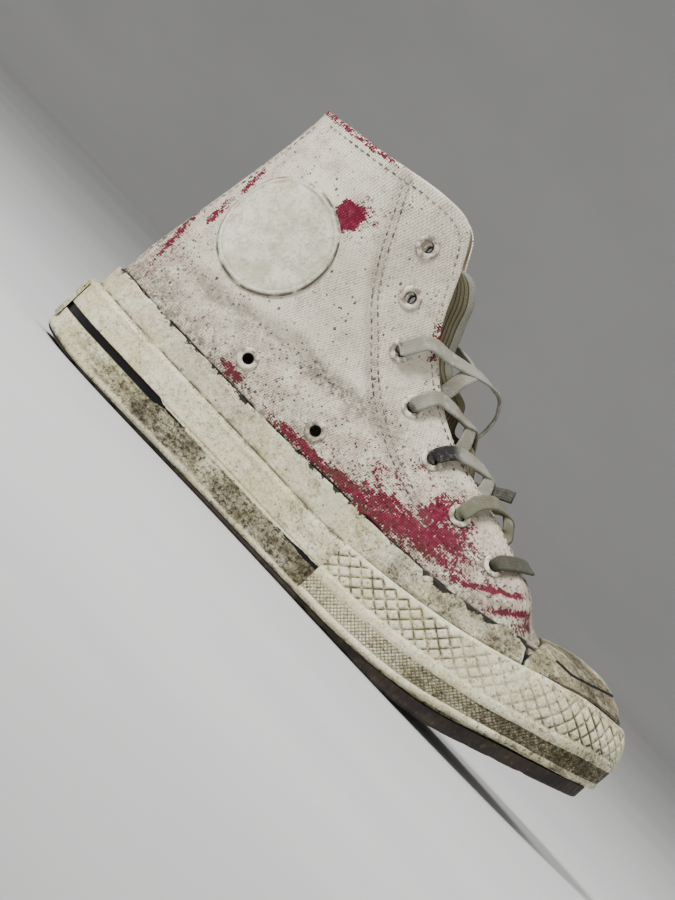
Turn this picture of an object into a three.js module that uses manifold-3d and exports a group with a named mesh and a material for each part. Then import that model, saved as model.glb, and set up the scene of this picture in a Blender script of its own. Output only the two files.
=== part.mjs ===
// A worn high-top canvas sneaker for the left foot, with a rubber toe cap, a patterned toe
// bumper, foxing, a round ankle patch, metal eyelets and slack flat laces.
// Millimetres. +X points to the toe, -Y to the medial side, +Z up. The sole stands on z = 0.

import * as THREE from "three";
import { mergeVertices } from "three/addons/utils/BufferGeometryUtils.js";
import Module from "manifold-3d";

const wasm = await Module();
wasm.setup();

// Driving dimensions
const LENGTH = 285;
const BALL_WIDTH = 102;
const SHAFT_HEIGHT = 151;

// The tables below are drawn at the pattern's size and graded to the driving dimensions.
const PATTERN = { length: 285, width: 102, height: 151 };
const GRADE = {
  x: LENGTH / PATTERN.length,
  y: BALL_WIDTH / PATTERN.width,
  z: SHAFT_HEIGHT / PATTERN.height,
};

// Thicknesses and gaps
const GAP = 0.3;
const CANVAS = 1.8;
const HEEL_STRIP = 0.7;
const TAPE = 1.3;
const TAPE_IN = 0.5;
const CAP_RUBBER = 2;
const HEEL_OUTSOLE = 4;
const TOE_OUTSOLE = 6.5;
const FOREFOOT_SLAB = 4.5;
const HEEL_LIFT = 4.5;
const INSOLE = 3.5;
const PATCH_RUBBER = 1.1;

// The last: one row for each rib of the upper, from the toe round to the heel. inX, inY and
// outX, outY are the feather line on the medial and the lateral side; topX, topY and topZ are
// the edge of the opening, the same on both sides. A rib leaves the feather line upwards by
// rise and outwards by flare, and comes into the edge from backX, sideY and downZ away.
const LAST = [
  { at: "toe tip", inX: 135.2, inY: -5, outX: 135.2, outY: -5, topX: 66, topY: 1.5, topZ: 68, rise: 35.5, flare: 4, backX: 29, sideY: 0, downZ: 5 },
  { at: "toe corner", inX: 125.5, inY: -23, outX: 127, outY: 14, topX: 64, topY: 5.5, topZ: 68.5, rise: 31, flare: 2.2, backX: 26, sideY: 14, downZ: 5 },
  { at: "toe side", inX: 104, inY: -36.8, outX: 105.5, outY: 31, topX: 59, topY: 8, topZ: 70.5, rise: 34, flare: 1.5, backX: 17, sideY: 20, downZ: 5 },
  { at: "ball", inX: 66, inY: -44.3, outX: 72, outY: 42, topX: 48, topY: 10, topZ: 75, rise: 38, flare: 0.5, backX: 8, sideY: 21, downZ: 5 },
  { at: "instep front", inX: 26, inY: -41.3, outX: 32, outY: 44.4, topX: 26, topY: 12, topZ: 81, rise: 36, flare: 0, backX: 2, sideY: 21, downZ: 6 },
  { at: "instep", inX: -12, inY: -34.5, outX: -8, outY: 41, topX: 5, topY: 13.5, topZ: 87, rise: 36, flare: 0, backX: -3, sideY: 18, downZ: 12 },
  { at: "waist", inX: -44, inY: -30.5, outX: -44, outY: 36, topX: -14, topY: 15, topZ: 98, rise: 40, flare: 0, backX: -8, sideY: 13, downZ: 20 },
  { at: "ankle", inX: -68, inY: -31.3, outX: -70, outY: 33.5, topX: -30, topY: 17, topZ: 114, rise: 42, flare: 0, backX: -9, sideY: 9, downZ: 28 },
  { at: "throat top", inX: -86, inY: -32, outX: -87, outY: 33, topX: -42, topY: 19.5, topZ: 137, rise: 44, flare: 0, backX: -10, sideY: 6, downZ: 38 },
  { at: "collar corner", inX: -98, inY: -31.8, outX: -99, outY: 32.6, topX: -51.5, topY: 22.5, topZ: 149.5, rise: 44, flare: 0, backX: -9, sideY: 3, downZ: 42 },
  { at: "collar front", inX: -108, inY: -30, outX: -109, outY: 30.8, topX: -67, topY: 26.5, topZ: 150.5, rise: 42, flare: 0, backX: -6, sideY: -0.5, downZ: 42 },
  { at: "collar side", inX: -121, inY: -24.6, outX: -121.5, outY: 25.2, topX: -93, topY: 28, topZ: 145.5, rise: 40, flare: 0.8, backX: -3, sideY: -3, downZ: 42 },
  { at: "heel corner", inX: -131.8, inY: -13, outX: -131.8, outY: 13.5, topX: -115.5, topY: 17.5, topZ: 142.2, rise: 42, flare: 0.8, backX: -1.5, sideY: -2, downZ: 42 },
  { at: "heel", inX: -136.2, inY: 0, outX: -136.2, outY: 0, topX: -123.5, topY: 0, topZ: 141.5, rise: 44, flare: 0.5, backX: -1, sideY: 0, downZ: 42 },
];

// Where the worn canvas has sunk or stands up, seen from above: its place, how far it reaches
// along and across the shoe, and how deep it is, with ridges below nothing.
const SAGS = [
  { at: "behind the toe cap", x: 83, y: -6, alongX: 9, acrossY: 42, deep: 8, share: 0.3 },
  { at: "vamp ridge", x: 66, y: 0, alongX: 7, acrossY: 30, deep: -1.2, share: 0 },
  { at: "crown of the toe cap", x: 93, y: 0, alongX: 15, acrossY: 30, deep: 4.2, share: 1 },
];

// Heights along the shoe, drawn at the pattern's size: x, then the top of the thick foxing,
// the top of the thin upper tape, the ridge and the lower edge of the rubber sidewall.
const SIDE_LINES = [
  { x: -142, foxing: 29, tape: 39.5, ridge: 13.2, lower: 1.2 },
  { x: -60, foxing: 28.5, tape: 39.7, ridge: 13.2, lower: 1.8 },
  { x: -5, foxing: 28.7, tape: 42, ridge: 13.2, lower: 2.4 },
  { x: 30, foxing: 32.5, tape: 44, ridge: 14.5, lower: 3.2 },
  { x: 60, foxing: 38, tape: 48.3, ridge: 19.5, lower: 7 },
  { x: 88, foxing: 45.3, tape: 54, ridge: 26, lower: 15 },
  { x: 112, foxing: 52, tape: 58, ridge: 34, lower: 23 },
  { x: 128, foxing: 55.8, tape: 60, ridge: 40, lower: 28.4 },
  { x: 143, foxing: 57, tape: 61, ridge: 44, lower: 33.5 },
];

// Toe spring: flat to its start, then an arc, then straight up to the toe
const SPRING_START = 48 * GRADE.x;
const SPRING_RADIUS = 110;
const SPRING_SLOPE = 0.36;
const HEEL_WEAR_START = -112 * GRADE.x;
const HEEL_WEAR = 0.0035;

// Rubber sidewall: how far each face stands out from the canvas
const WALL_IN = TAPE_IN + TAPE + GAP;
const WALL_OUT = 4.9;
const BUMPER_IN = WALL_OUT + GAP + 0.3;
const BUMPER_OUT = 6.6;
const BUMPER_LIP = 0.6;
const PLATE_OUT = 6.3;
const STRIPE_GROOVE = 0.5;
const STRIPE_TALL = 3;
const BUMPER_REAR_X = 7 * GRADE.x;
const CAP_REAR_X = 87 * GRADE.x;
const CAP_REAR_BOW = 3;
const PLATE_REACH = 0.022;
const STRIP_REACH = 0.022;
const STRIP_FOOT = 0.24;

// Eyelets: where each hole is on the side of the upper, seen from the side
const LACE_EYELETS = [
  { row: 1, x: -56.5, z: 132.5 },
  { row: 2, x: -47, z: 114 },
  { row: 3, x: -34.5, z: 97 },
  { row: 4, x: -15.5, z: 85 },
  { row: 5, x: 5, z: 76.5 },
  { row: 6, x: 28.5, z: 69 },
  { row: 7, x: 52, z: 65 },
];
const VENT_EYELETS = [
  { row: 1, x: -73.2, z: 51.5 },
  { row: 2, x: -34.5, z: 51 },
];
const EYELET_BORE = 2.3;
const EYELET_TUBE = 2.9;
const EYELET_FLANGE = 4.8;
const EYELET_PROUD = 0.9;

// Ankle patch
const PATCH = { x: -100.5, z: 93, radius: 24.8 };

// Laces
const LACE_WIDTH = 6;
const LACE_THICK = 1.4;

const smooth = (a, b, x) => {
  const s = Math.min(1, Math.max(0, (x - a) / (b - a)));
  return s * s * (3 - 2 * s);
};

// A value between the two middle ones of four, on a Catmull-Rom curve.
const catmull = (a, b, c, d, s) =>
  0.5 * (2 * b + (c - a) * s + (2 * a - 5 * b + 4 * c - d) * s * s + (3 * b - a - 3 * c + d) * s ** 3);

// A column of SIDE_LINES at x, graded.
function sideLine(column, x) {
  const rows = SIDE_LINES;
  const px = x / GRADE.x;
  const after = rows.findIndex((row) => row.x > px);
  const i = after < 0 ? rows.length - 2 : Math.max(0, after - 1);
  const row = (k) => rows[Math.min(rows.length - 1, Math.max(0, k))];
  const s = Math.min(1, Math.max(0, (px - row(i).x) / (row(i + 1).x - row(i).x)));
  return GRADE.z * catmull(row(i - 1)[column], row(i)[column], row(i + 1)[column], row(i + 2)[column], s);
}

// The underside of the sole above the floor, with its toe spring and a worn heel edge.
function ground(x) {
  const end = SPRING_START + SPRING_SLOPE * SPRING_RADIUS;
  const run = Math.min(x, end) - SPRING_START;
  const arc = run > 0 ? (run * run) / (2 * SPRING_RADIUS) : 0;
  const wear = Math.max(0, HEEL_WEAR_START - x);
  return arc + Math.max(0, x - end) * SPRING_SLOPE + HEEL_WEAR * wear * wear;
}
const outsoleTop = (x) => ground(x) + HEEL_OUTSOLE + (TOE_OUTSOLE - HEEL_OUTSOLE) * smooth(0, 90, x);

// The top of the slab that the upper stands on.
const slabTop = (x) =>
  outsoleTop(x) + GAP + FOREFOOT_SLAB + HEEL_LIFT * smooth(-15, -80, x) - HEEL_WEAR * Math.max(0, HEEL_WEAR_START - x) ** 2;
const lowerEdge = (x) => Math.max(sideLine("lower", x), ground(x) + 1.2);

// The ring of ribs: toe to heel on the medial side, and back on the lateral side.
const HALF = LAST.length - 1;
const COUNT = 2 * HALF;
const ring = Array.from({ length: COUNT }, (_, k) => {
  const medial = k <= HALF;
  const row = LAST[medial ? k : COUNT - k];
  const middle = k === 0 || k === HALF;
  const side = middle ? 0 : medial ? -1 : 1;
  const x = GRADE.x * (medial ? row.inX : row.outX);
  const y = GRADE.y * (medial ? row.inY : row.outY);
  return {
    row,
    side,
    foot: new THREE.Vector3(x, y, slabTop(x) + GAP),
    edge: new THREE.Vector3(GRADE.x * row.topX, side * GRADE.y * row.topY, GRADE.z * row.topZ),
  };
});

// A vector round the ring at t, from 0 at the toe to 1 back at the toe.
function round(key, t) {
  const u = (((t % 1) + 1) % 1) * COUNT;
  const i = Math.floor(u);
  const at = (k) => ring[(k + COUNT) % COUNT][key];
  const [a, b, c, d] = [at(i - 1), at(i), at(i + 1), at(i + 2)];
  const value = (axis) => catmull(a[axis], b[axis], c[axis], d[axis], u - i);
  return new THREE.Vector3(value("x"), value("y"), value("z"));
}

// The outward direction along the floor at t.
function outward(t) {
  const step = 0.004;
  const along = round("foot", t + step).sub(round("foot", t - step));
  return new THREE.Vector3(along.y, -along.x, 0).normalize().negate();
}

ring.forEach((rib, k) => {
  const { row, foot, edge, side } = rib;
  const out = outward(k / COUNT);
  rib.low = foot.clone().addScaledVector(out, row.flare).add(new THREE.Vector3(0, 0, GRADE.z * row.rise));
  rib.high = edge.clone().add(new THREE.Vector3(row.backX, side * row.sideY, -row.downZ));
});

// The last itself: t round the shoe, v from the feather line up to the opening's edge.
function last(t, v) {
  const w = 1 - v;
  const foot = round("foot", t);
  return foot
    .setZ(slabTop(foot.x) + GAP)
    .multiplyScalar(w * w * w)
    .addScaledVector(round("low", t), 3 * w * w * v)
    .addScaledVector(round("high", t), 3 * w * v * v)
    .addScaledVector(round("edge", t), v * v * v);
}

// How far the worn canvas, or the stiffer cap over it, has sunk at a point of the last.
const sunk = (p, v, onCap) =>
  SAGS.reduce((sum, { x, y, alongX, acrossY, deep, share }) => {
    const fall = Math.exp(-(((p.x - x) / alongX) ** 2) - ((p.y - y) / acrossY) ** 2);
    return sum + deep * (onCap ? share : 1) * fall * smooth(0.3, 0.6, v);
  }, 0);

// The outside of the canvas, and the face that the cap follows.
function skin(t, v, onCap = false) {
  const p = last(t, v);
  return p.setZ(p.z - sunk(p, v, onCap));
}

function skinNormal(t, v, onCap = false) {
  const dt = 0.003;
  const dv = 0.012;
  const around = skin(t + dt, v, onCap).sub(skin(t - dt, v, onCap));
  const up = skin(t, Math.min(1, v + dv), onCap).sub(skin(t, Math.max(0, v - dv), onCap));
  return up.cross(around).normalize();
}

const offSkin = (t, v, off, onCap = false) => skin(t, v, onCap).addScaledVector(skinNormal(t, v, onCap), off);

// Bisects between lo and hi for the value from which test holds.
function firstFor(test, lo, hi) {
  for (let n = 0; n < 30; n++) {
    const mid = (lo + hi) / 2;
    if (test(mid)) hi = mid;
    else lo = mid;
  }
  return hi;
}

// Where the feather line passes x on the medial (-1) or the lateral (1) side.
const footAt = (x, side) => {
  const reach = firstFor((k) => round("foot", side < 0 ? k : 1 - k).x < x, 0, 0.5);
  return side < 0 ? reach : 1 - reach;
};

// A point of the rubber wall: height z on rib t, off outwards from the last.
function wall(t, z, off) {
  const foot = round("foot", t);
  const v = z > slabTop(foot.x) + GAP ? firstFor((share) => last(t, share).z > z, 0, 0.6) : 0;
  const p = last(t, v);
  return new THREE.Vector3(p.x, p.y, z).addScaledVector(outward(t), off);
}

// Where the top of the rubber wall passes x on either side.
const wallAt = (x, side) =>
  firstFor((reach) => {
    const t = side < 0 ? reach : 1 - reach;
    return wall(t, sideLine("foxing", round("foot", t).x), 0).x < x;
  }, 0, 0.5);

// Shared columns: every band and sheet is cut at these, so that their flats lie parallel.
const UNIFORM_COLUMNS = 50;
const STEP_WIDE = 0.0015;
const STOPS = {
  capIn: wallAt(CAP_REAR_X, -1),
  capOut: 1 - wallAt(CAP_REAR_X, 1),
  bumperIn: footAt(BUMPER_REAR_X, -1),
  bumperOut: footAt(BUMPER_REAR_X, 1),
  stripIn: 0.5 - STRIP_REACH,
  stripOut: 0.5 + STRIP_REACH,
};
const stops = [
  ...Object.values(STOPS),
  STOPS.stripIn - STEP_WIDE,
  STOPS.stripOut + STEP_WIDE,
];
const columns = Array.from({ length: UNIFORM_COLUMNS }, (_, i) => i / UNIFORM_COLUMNS)
  .filter((t) => stops.every((stop) => Math.abs(stop - t) > 0.25 / UNIFORM_COLUMNS))
  .concat(stops)
  .sort((a, b) => a - b);

// The shared columns from t0 to t1, which may pass the toe; both ends are included.
function columnsBetween(t0, t1) {
  const all = [...columns.map((t) => t - 1), ...columns, ...columns.map((t) => t + 1)];
  const inner = all.filter((t) => t > t0 + 1e-4 && t < t1 - 1e-4);
  return [t0, ...inner, t1];
}

// Solids from grids of points
function solidFrom(points, triangles) {
  const geometry = new THREE.BufferGeometry();
  geometry.setAttribute("position", new THREE.Float32BufferAttribute(points.flatMap((p) => [p.x, p.y, p.z]), 3));
  geometry.setIndex(triangles.flat());
  return solidOf(geometry);
}

function solidOf(geometry) {
  geometry.deleteAttribute("normal");
  geometry.deleteAttribute("uv");
  const merged = mergeVertices(geometry, 1e-4);
  const corners = [...merged.index.array];
  const faces = [];
  for (let i = 0; i < corners.length; i += 3) {
    const [a, b, c] = corners.slice(i, i + 3);
    if (a !== b && b !== c && c !== a) faces.push(a, b, c);
  }
  return new wasm.Manifold(
    new wasm.Mesh({
      numProp: 3,
      vertProperties: merged.attributes.position.array,
      triVerts: new Uint32Array(faces),
    }),
  );
}

// A solid whose section at each step is a closed ring of points. The ends are closed with
// strips across the section, or, when closed is true, the last section joins the first.
function sweep(sections, closed = false) {
  const size = sections[0].length;
  const triangles = [];
  const spans = closed ? sections.length : sections.length - 1;
  for (let i = 0; i < spans; i++)
    for (let j = 0; j < size; j++) {
      const next = (i + 1) % sections.length;
      const a = i * size + j;
      const b = i * size + ((j + 1) % size);
      const c = next * size + j;
      const d = next * size + ((j + 1) % size);
      triangles.push([a, b, d], [a, d, c]);
    }
  if (!closed) {
    const end = (sections.length - 1) * size;
    for (let j = 0; 2 * j < size - 2; j++) {
      const [a, b, c, d] = [j, j + 1, size - 2 - j, size - 1 - j];
      if (b !== c) triangles.push([a, c, b], [end + a, end + b, end + c]);
      triangles.push([a, d, c], [end + a, end + c, end + d]);
    }
  }
  return solidFrom(sections.flat(), triangles);
}

// A plate from a stack of loops, closed below the first and above the last by rungs that run
// across the shoe.
function stack(loops) {
  const size = loops[0].length;
  const triangles = [];
  for (let i = 0; i < loops.length - 1; i++)
    for (let j = 0; j < size; j++) {
      const a = i * size + j;
      const b = i * size + ((j + 1) % size);
      triangles.push([a, b + size, b], [a, a + size, b + size]);
    }
  const top = (loops.length - 1) * size;
  let left = 0;
  let right = size;
  const byLeft = (step) => loops[0][(left + step) % size].x;
  const byRight = (step) => loops[0][(right - step) % size].x;
  while (right - left > 1) {
    const onLeft = byLeft(1) > byRight(1);
    const rung = onLeft ? [left, left + 1, right] : [left, right - 1, right];
    const [a, b, c] = rung.map((j) => j % size);
    if (onLeft) left++;
    else right--;
    if (new Set([a, b, c]).size === 3) triangles.push([a, b, c], [top + a, top + c, top + b]);
  }
  return solidFrom(loops.flat(), triangles);
}

const evenly = (count) => Array.from({ length: count + 1 }, (_, j) => j / count);

// A sheet of the skin: its columns, from low(t) to high(t) at the given shares of the way,
// between the offsets inner(t, v) and outer(t, v).
function sheet({ ts, closed = false, low, high, inner, outer, shares, onCap = false }) {
  return sweep(
    ts.map((t) => {
      const vs = shares.map((share) => low(t) + (high(t) - low(t)) * share);
      const face = (off) => vs.map((v) => offSkin(t, v, off(t, v), onCap));
      return [...face(outer), ...face(inner).reverse()];
    }),
    closed,
  );
}

// A rubber band round the wall: its profile gives height and offset at each column.
const band = (ts, closed, profile) =>
  sweep(
    ts.map((t) => profile(t).map(([z, off]) => wall(t, z, off))),
    closed,
  );

// Heights at equal shares between the slab and the top of the foxing at x.
const SHARES = [0, 0.33, 0.67, 1];
const wallRise = (x, share) => slabTop(x) + GAP + (sideLine("foxing", x) - slabTop(x) - GAP) * share;

function geometryOf(solid) {
  const mesh = solid.getMesh();
  const geometry = new THREE.BufferGeometry();
  geometry.setAttribute("position", new THREE.BufferAttribute(mesh.vertProperties, mesh.numProp));
  geometry.setIndex(new THREE.BufferAttribute(mesh.triVerts, 1));
  geometry.computeVertexNormals();
  return geometry;
}

// Finds the t and v of the skin at x and z on the medial (-1) or the lateral (1) side.
function locate(x, z, side) {
  const tries = 600;
  let best = { miss: Infinity };
  for (let k = 1; k < tries; k++) {
    const t = side > 0 ? 1 - k / (2 * tries) : k / (2 * tries);
    const v = firstFor((share) => skin(t, share).z > z, 0, 1);
    const miss = Math.abs(skin(t, v).x - x);
    if (miss < best.miss) best = { miss, t, v };
  }
  return best;
}

// The place reached from another by going along the skin: ahead to the toe, and up.
function walk({ t, v }, ahead, up) {
  const steps = 8;
  const place = { t, v };
  for (let n = 0; n < steps; n++) {
    const here = skin(place.t, place.v);
    const perT = skin(place.t + 0.001, place.v).sub(here).divideScalar(0.001);
    const perV = skin(place.t, place.v + 0.001).sub(here).divideScalar(0.001);
    const normal = perV.clone().cross(perT).normalize();
    const upward = new THREE.Vector3(0, 0, 1).addScaledVector(normal, -normal.z).normalize();
    const forward = upward.clone().cross(normal);
    if (forward.x < 0) forward.negate();
    const step = forward.multiplyScalar(ahead / steps).addScaledVector(upward, up / steps);
    const [tt, tv, vv] = [perT.dot(perT), perT.dot(perV), perV.dot(perV)];
    const [st, sv] = [step.dot(perT), step.dot(perV)];
    const det = tt * vv - tv * tv;
    place.t += (st * vv - sv * tv) / det;
    place.v += (sv * tt - st * tv) / det;
  }
  return place;
}

// Turns a shape made along +Z so that +Z is the skin's normal at a place.
function onSkin(geometry, { t, v }) {
  const turn = new THREE.Quaternion().setFromUnitVectors(new THREE.Vector3(0, 0, 1), skinNormal(t, v));
  return geometry.applyMatrix4(new THREE.Matrix4().compose(skin(t, v), turn, new THREE.Vector3(1, 1, 1)));
}

// Materials
const finish = (color, roughness, metalness = 0) =>
  new THREE.MeshStandardMaterial({ color, roughness, metalness });
const MATERIALS = {
  canvas: finish(0xd9d2ca, 0.85),
  rubber: finish(0xcfcaae, 0.55),
  tape: finish(0xb9b39c, 0.7),
  cap: finish(0x8d8470, 0.6),
  outsole: finish(0x41352c, 0.7),
  patch: finish(0xcfccbc, 0.6),
  eyelet: finish(0xc9c6bd, 0.45, 0.3),
  lace: finish(0xa3a199, 0.9),
  lining: finish(0xa59d86, 0.9),
  insole: finish(0x8c8675, 0.9),
};

const shoe = new THREE.Group();
function add(name, shape, material) {
  const mesh = new THREE.Mesh(shape.isBufferGeometry ? shape : geometryOf(shape), material);
  mesh.name = name;
  shoe.add(mesh);
}

// Eyelets: a bored tube through the canvas with a flange on its face
const ROUND_SIDES = 8;
const HALF_SIDE = Math.PI / ROUND_SIDES;
function makeEyelet() {
  const profile = [
    [EYELET_BORE, -CANVAS - GAP],
    [EYELET_TUBE, -CANVAS - GAP],
    [EYELET_TUBE, GAP],
    [EYELET_FLANGE, GAP],
    [EYELET_FLANGE - 1.4, EYELET_PROUD],
    [EYELET_BORE, EYELET_PROUD],
  ].map(([r, z]) => new THREE.Vector2(r, z));
  return new THREE.LatheGeometry([...profile, profile[0]], ROUND_SIDES, HALF_SIDE).rotateX(Math.PI / 2);
}
const eyeletPlace = (name, { x, z }, side) => ({ name, ...locate(x * GRADE.x, z * GRADE.z, side) });
const eyelets = [
  ...LACE_EYELETS.flatMap((eyelet) => [
    eyeletPlace(`eyelet_medial_${eyelet.row}`, eyelet, -1),
    eyeletPlace(`eyelet_lateral_${eyelet.row}`, eyelet, 1),
  ]),
  ...VENT_EYELETS.map((vent) => eyeletPlace(`vent_${vent.row}`, vent, -1)),
];

// Upper: one hollow canvas wall, open at the collar, at the throat and underneath, with the
// heel strip as a step in its wall
function makeUpper() {
  const onStrip = (t, v) => t > STOPS.stripIn - 1e-6 && t < STOPS.stripOut + 1e-6 && v > STRIP_FOOT;
  const wallSheet = sheet({
    ts: columns,
    closed: true,
    low: () => 0,
    high: () => 1,
    inner: () => -CANVAS,
    outer: (t, v) => (onStrip(t, v) ? HEEL_STRIP : 0),
    shares: [0, 0.1, 0.2, 0.31, 0.42, 0.53, 0.63, 0.71, 0.78, 0.85, 0.92, 1],
  });
  const bore = () => new THREE.CylinderGeometry(EYELET_TUBE + GAP + 0.1, EYELET_TUBE + GAP + 0.1, 8, ROUND_SIDES);
  return eyelets.reduce((solid, place) => solid.subtract(solidOf(onSkin(bore().rotateX(Math.PI / 2), place))), wallSheet);
}
add("upper", makeUpper(), MATERIALS.canvas);
eyelets.forEach((place) => add(place.name, onSkin(makeEyelet(), place), MATERIALS.eyelet));

// Thin tape round the foot of the canvas, cut square where it meets the cap
const TAPE_RUN = 0.012;
const BIG = 400;
const tapeCut = new THREE.BoxGeometry(BIG, BIG, BIG).translate(CAP_REAR_X - GAP - BIG / 2, 0, 0);
add(
  "foxing_tape",
  band(columnsBetween(STOPS.capIn - TAPE_RUN, STOPS.capOut + TAPE_RUN), false, (t) => {
    const { x } = round("foot", t);
    const top = sideLine("tape", x);
    const heights = SHARES.map((share) => wallRise(x, share));
    return [
      ...heights.map((z) => [z, TAPE_IN + TAPE]),
      [top - 0.3, TAPE_IN + TAPE],
      [top, TAPE_IN + TAPE * 0.5],
      [top, TAPE_IN],
      ...heights.reverse().map((z) => [z, TAPE_IN]),
    ];
  }).intersect(solidOf(tapeCut)),
  MATERIALS.tape,
);

// Midsole: the slab under the foot and the rubber wall round it, with its stripe groove
const loop = (zOf, offOf) => columns.map((t) => wall(t, zOf(round("foot", t).x), offOf(t)));
const flush = (off) => () => off;
const ridge = (x) => sideLine("ridge", x);
const foxing = (x) => sideLine("foxing", x);
const grooved = (t) => WALL_OUT - (t > STOPS.bumperIn && t < STOPS.bumperOut ? STRIPE_GROOVE : 0);
add(
  "midsole",
  stack([
    loop((x) => outsoleTop(x) + GAP, flush(WALL_IN - 0.4)),
    loop(lowerEdge, flush(WALL_IN - 0.1)),
    loop(lowerEdge, flush(WALL_OUT - 0.6)),
    loop((x) => lowerEdge(x) + 1, flush(WALL_OUT)),
    loop(ridge, flush(WALL_OUT)),
    loop((x) => ridge(x) + 0.1, grooved),
    loop((x) => ridge(x) + STRIPE_TALL, grooved),
    loop((x) => ridge(x) + STRIPE_TALL + 0.1, flush(WALL_OUT)),
    loop((x) => foxing(x) - 1, flush(WALL_OUT)),
    loop(foxing, flush(WALL_OUT - 1.1)),
    ...[...SHARES].reverse().map((share) => loop((x) => wallRise(x, share), flush(WALL_IN))),
    loop(slabTop, flush(WALL_IN)),
  ]),
  MATERIALS.rubber,
);

// Outsole: a bevelled plate with a rebate under the wall, and cross grooves in its tread
const GROOVE_DEEP = 1.2;
const TREADS = [
  { at: "heel", from: -118, to: -74, count: 5, half: 24 },
  { at: "forefoot", from: 14, to: 116, count: 10, half: 30 },
];
function makeOutsole() {
  const rebate = (x) => Math.max(lowerEdge(x) - GAP, ground(x) + 0.9);
  const plate = stack([
    loop(ground, flush(WALL_OUT - 2.4)),
    loop((x) => ground(x) + 0.8, flush(WALL_OUT - 0.9)),
    loop((x) => Math.min(rebate(x), outsoleTop(x) - 0.1), flush(WALL_OUT - 0.7)),
    loop((x) => Math.min(rebate(x), outsoleTop(x) - 0.1), flush(WALL_IN - 0.5)),
    loop(outsoleTop, flush(WALL_IN - 0.8)),
  ]);
  return TREADS.flatMap(({ from, to, count, half }) =>
    Array.from({ length: count }, (_, k) => {
      const x = GRADE.x * (from + ((to - from) * k) / (count - 1));
      const groove = new THREE.BoxGeometry(2.4, 2 * half, 2 * GROOVE_DEEP);
      const slope = Math.atan2(ground(x + 1) - ground(x - 1), 2);
      return groove.rotateY(-slope).translate(x, x > 0 ? 2 : 0, ground(x));
    }),
  ).reduce((solid, groove) => solid.subtract(solidOf(groove)), plate);
}
add("outsole", makeOutsole(), MATERIALS.outsole);

// Insole: a thin plate inside the canvas
const insoleLoop = (lift) => columns.map((t) => wall(t, slabTop(round("foot", t).x) + lift, -CANVAS - 0.8));
add("insole", stack([insoleLoop(GAP), insoleLoop(GAP + INSOLE)]), MATERIALS.insole);

// Toe bumper: a thick band round the toe with a ridge between its two patterned faces
add(
  "toe_bumper",
  band(columnsBetween(STOPS.bumperOut - 1, STOPS.bumperIn), false, (t) => {
    const { x } = round("foot", t);
    const [low, mid, top] = [lowerEdge(x) + 1, ridge(x), foxing(x)];
    const lip = BUMPER_OUT + BUMPER_LIP;
    return [
      [low, lip - 0.2],
      [low + 2, lip],
      [low + 2.6, BUMPER_OUT],
      [mid - 0.6, BUMPER_OUT],
      [mid + 0.4, lip],
      [mid + STRIPE_TALL - 0.4, lip],
      [mid + STRIPE_TALL + 0.4, BUMPER_OUT],
      [top - 1, BUMPER_OUT],
      [top + 0.6, BUMPER_OUT - 1],
      [top + 0.6, BUMPER_IN - 0.6],
      [top, BUMPER_IN - 0.6],
      [top - 1, BUMPER_IN],
      [mid + STRIPE_TALL + 0.1, BUMPER_IN],
      [mid, BUMPER_IN],
      [low, BUMPER_IN],
    ];
  }),
  MATERIALS.rubber,
);

// Heel plate: a small plain plate on the back of the wall
add(
  "heel_plate",
  band(columnsBetween(0.5 - PLATE_REACH, 0.5 + PLATE_REACH), false, (t) => {
    const { x } = round("foot", t);
    const [low, mid, top] = [8, ridge(x), 26.5];
    return [
      [low, PLATE_OUT - 0.4],
      [low + 1, PLATE_OUT],
      [top - 1, PLATE_OUT],
      [top, PLATE_OUT - 0.4],
      [top, BUMPER_IN],
      [mid + STRIPE_TALL, BUMPER_IN],
      [mid, BUMPER_IN],
      [low, BUMPER_IN],
    ];
  }),
  MATERIALS.rubber,
);

// Toe cap: the crown in front of the vamp, above the wall
const capLow = (t) => {
  const z = foxing(round("foot", t).x) + GAP;
  return firstFor((v) => skin(t, v, true).z > z, 0, 0.7);
};
const capHigh = (t) =>
  firstFor((v) => {
    const p = skin(t, v, true);
    return p.x < CAP_REAR_X - CAP_REAR_BOW * (1 - Math.min(1, Math.abs(p.y) / 30));
  }, capLow(t) + 0.02, 0.95);
add(
  "toe_cap",
  sheet({
    ts: columnsBetween(STOPS.capOut - 1 + 0.004, STOPS.capIn - 0.004),
    low: capLow,
    high: capHigh,
    inner: () => GAP,
    outer: () => GAP + CAP_RUBBER,
    shares: evenly(7),
    onCap: true,
  }),
  MATERIALS.cap,
);

// Ankle patch: a disc bent to the canvas
const PATCH_SIDES = 32;
const PATCH_RINGS = [0.02, 0.5, 1];
function makePatch() {
  const centre = locate(PATCH.x * GRADE.x, PATCH.z * GRADE.z, -1);
  const circle = (share, off) =>
    Array.from({ length: PATCH_SIDES }, (_, k) => {
      const angle = (2 * Math.PI * k) / PATCH_SIDES;
      const reach = share * PATCH.radius;
      const { t, v } = walk(centre, reach * Math.cos(angle), reach * Math.sin(angle));
      return offSkin(t, v, off);
    });
  return sweep([
    ...PATCH_RINGS.map((share) => circle(share, GAP + (share === 1 ? 0.1 : 0.15))),
    circle(1, GAP + PATCH_RUBBER * 0.7),
    ...[...PATCH_RINGS].reverse().map((share) => circle(Math.min(share, 0.975), GAP + PATCH_RUBBER)),
  ]);
}
add("ankle_patch", makePatch(), MATERIALS.patch);

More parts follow.
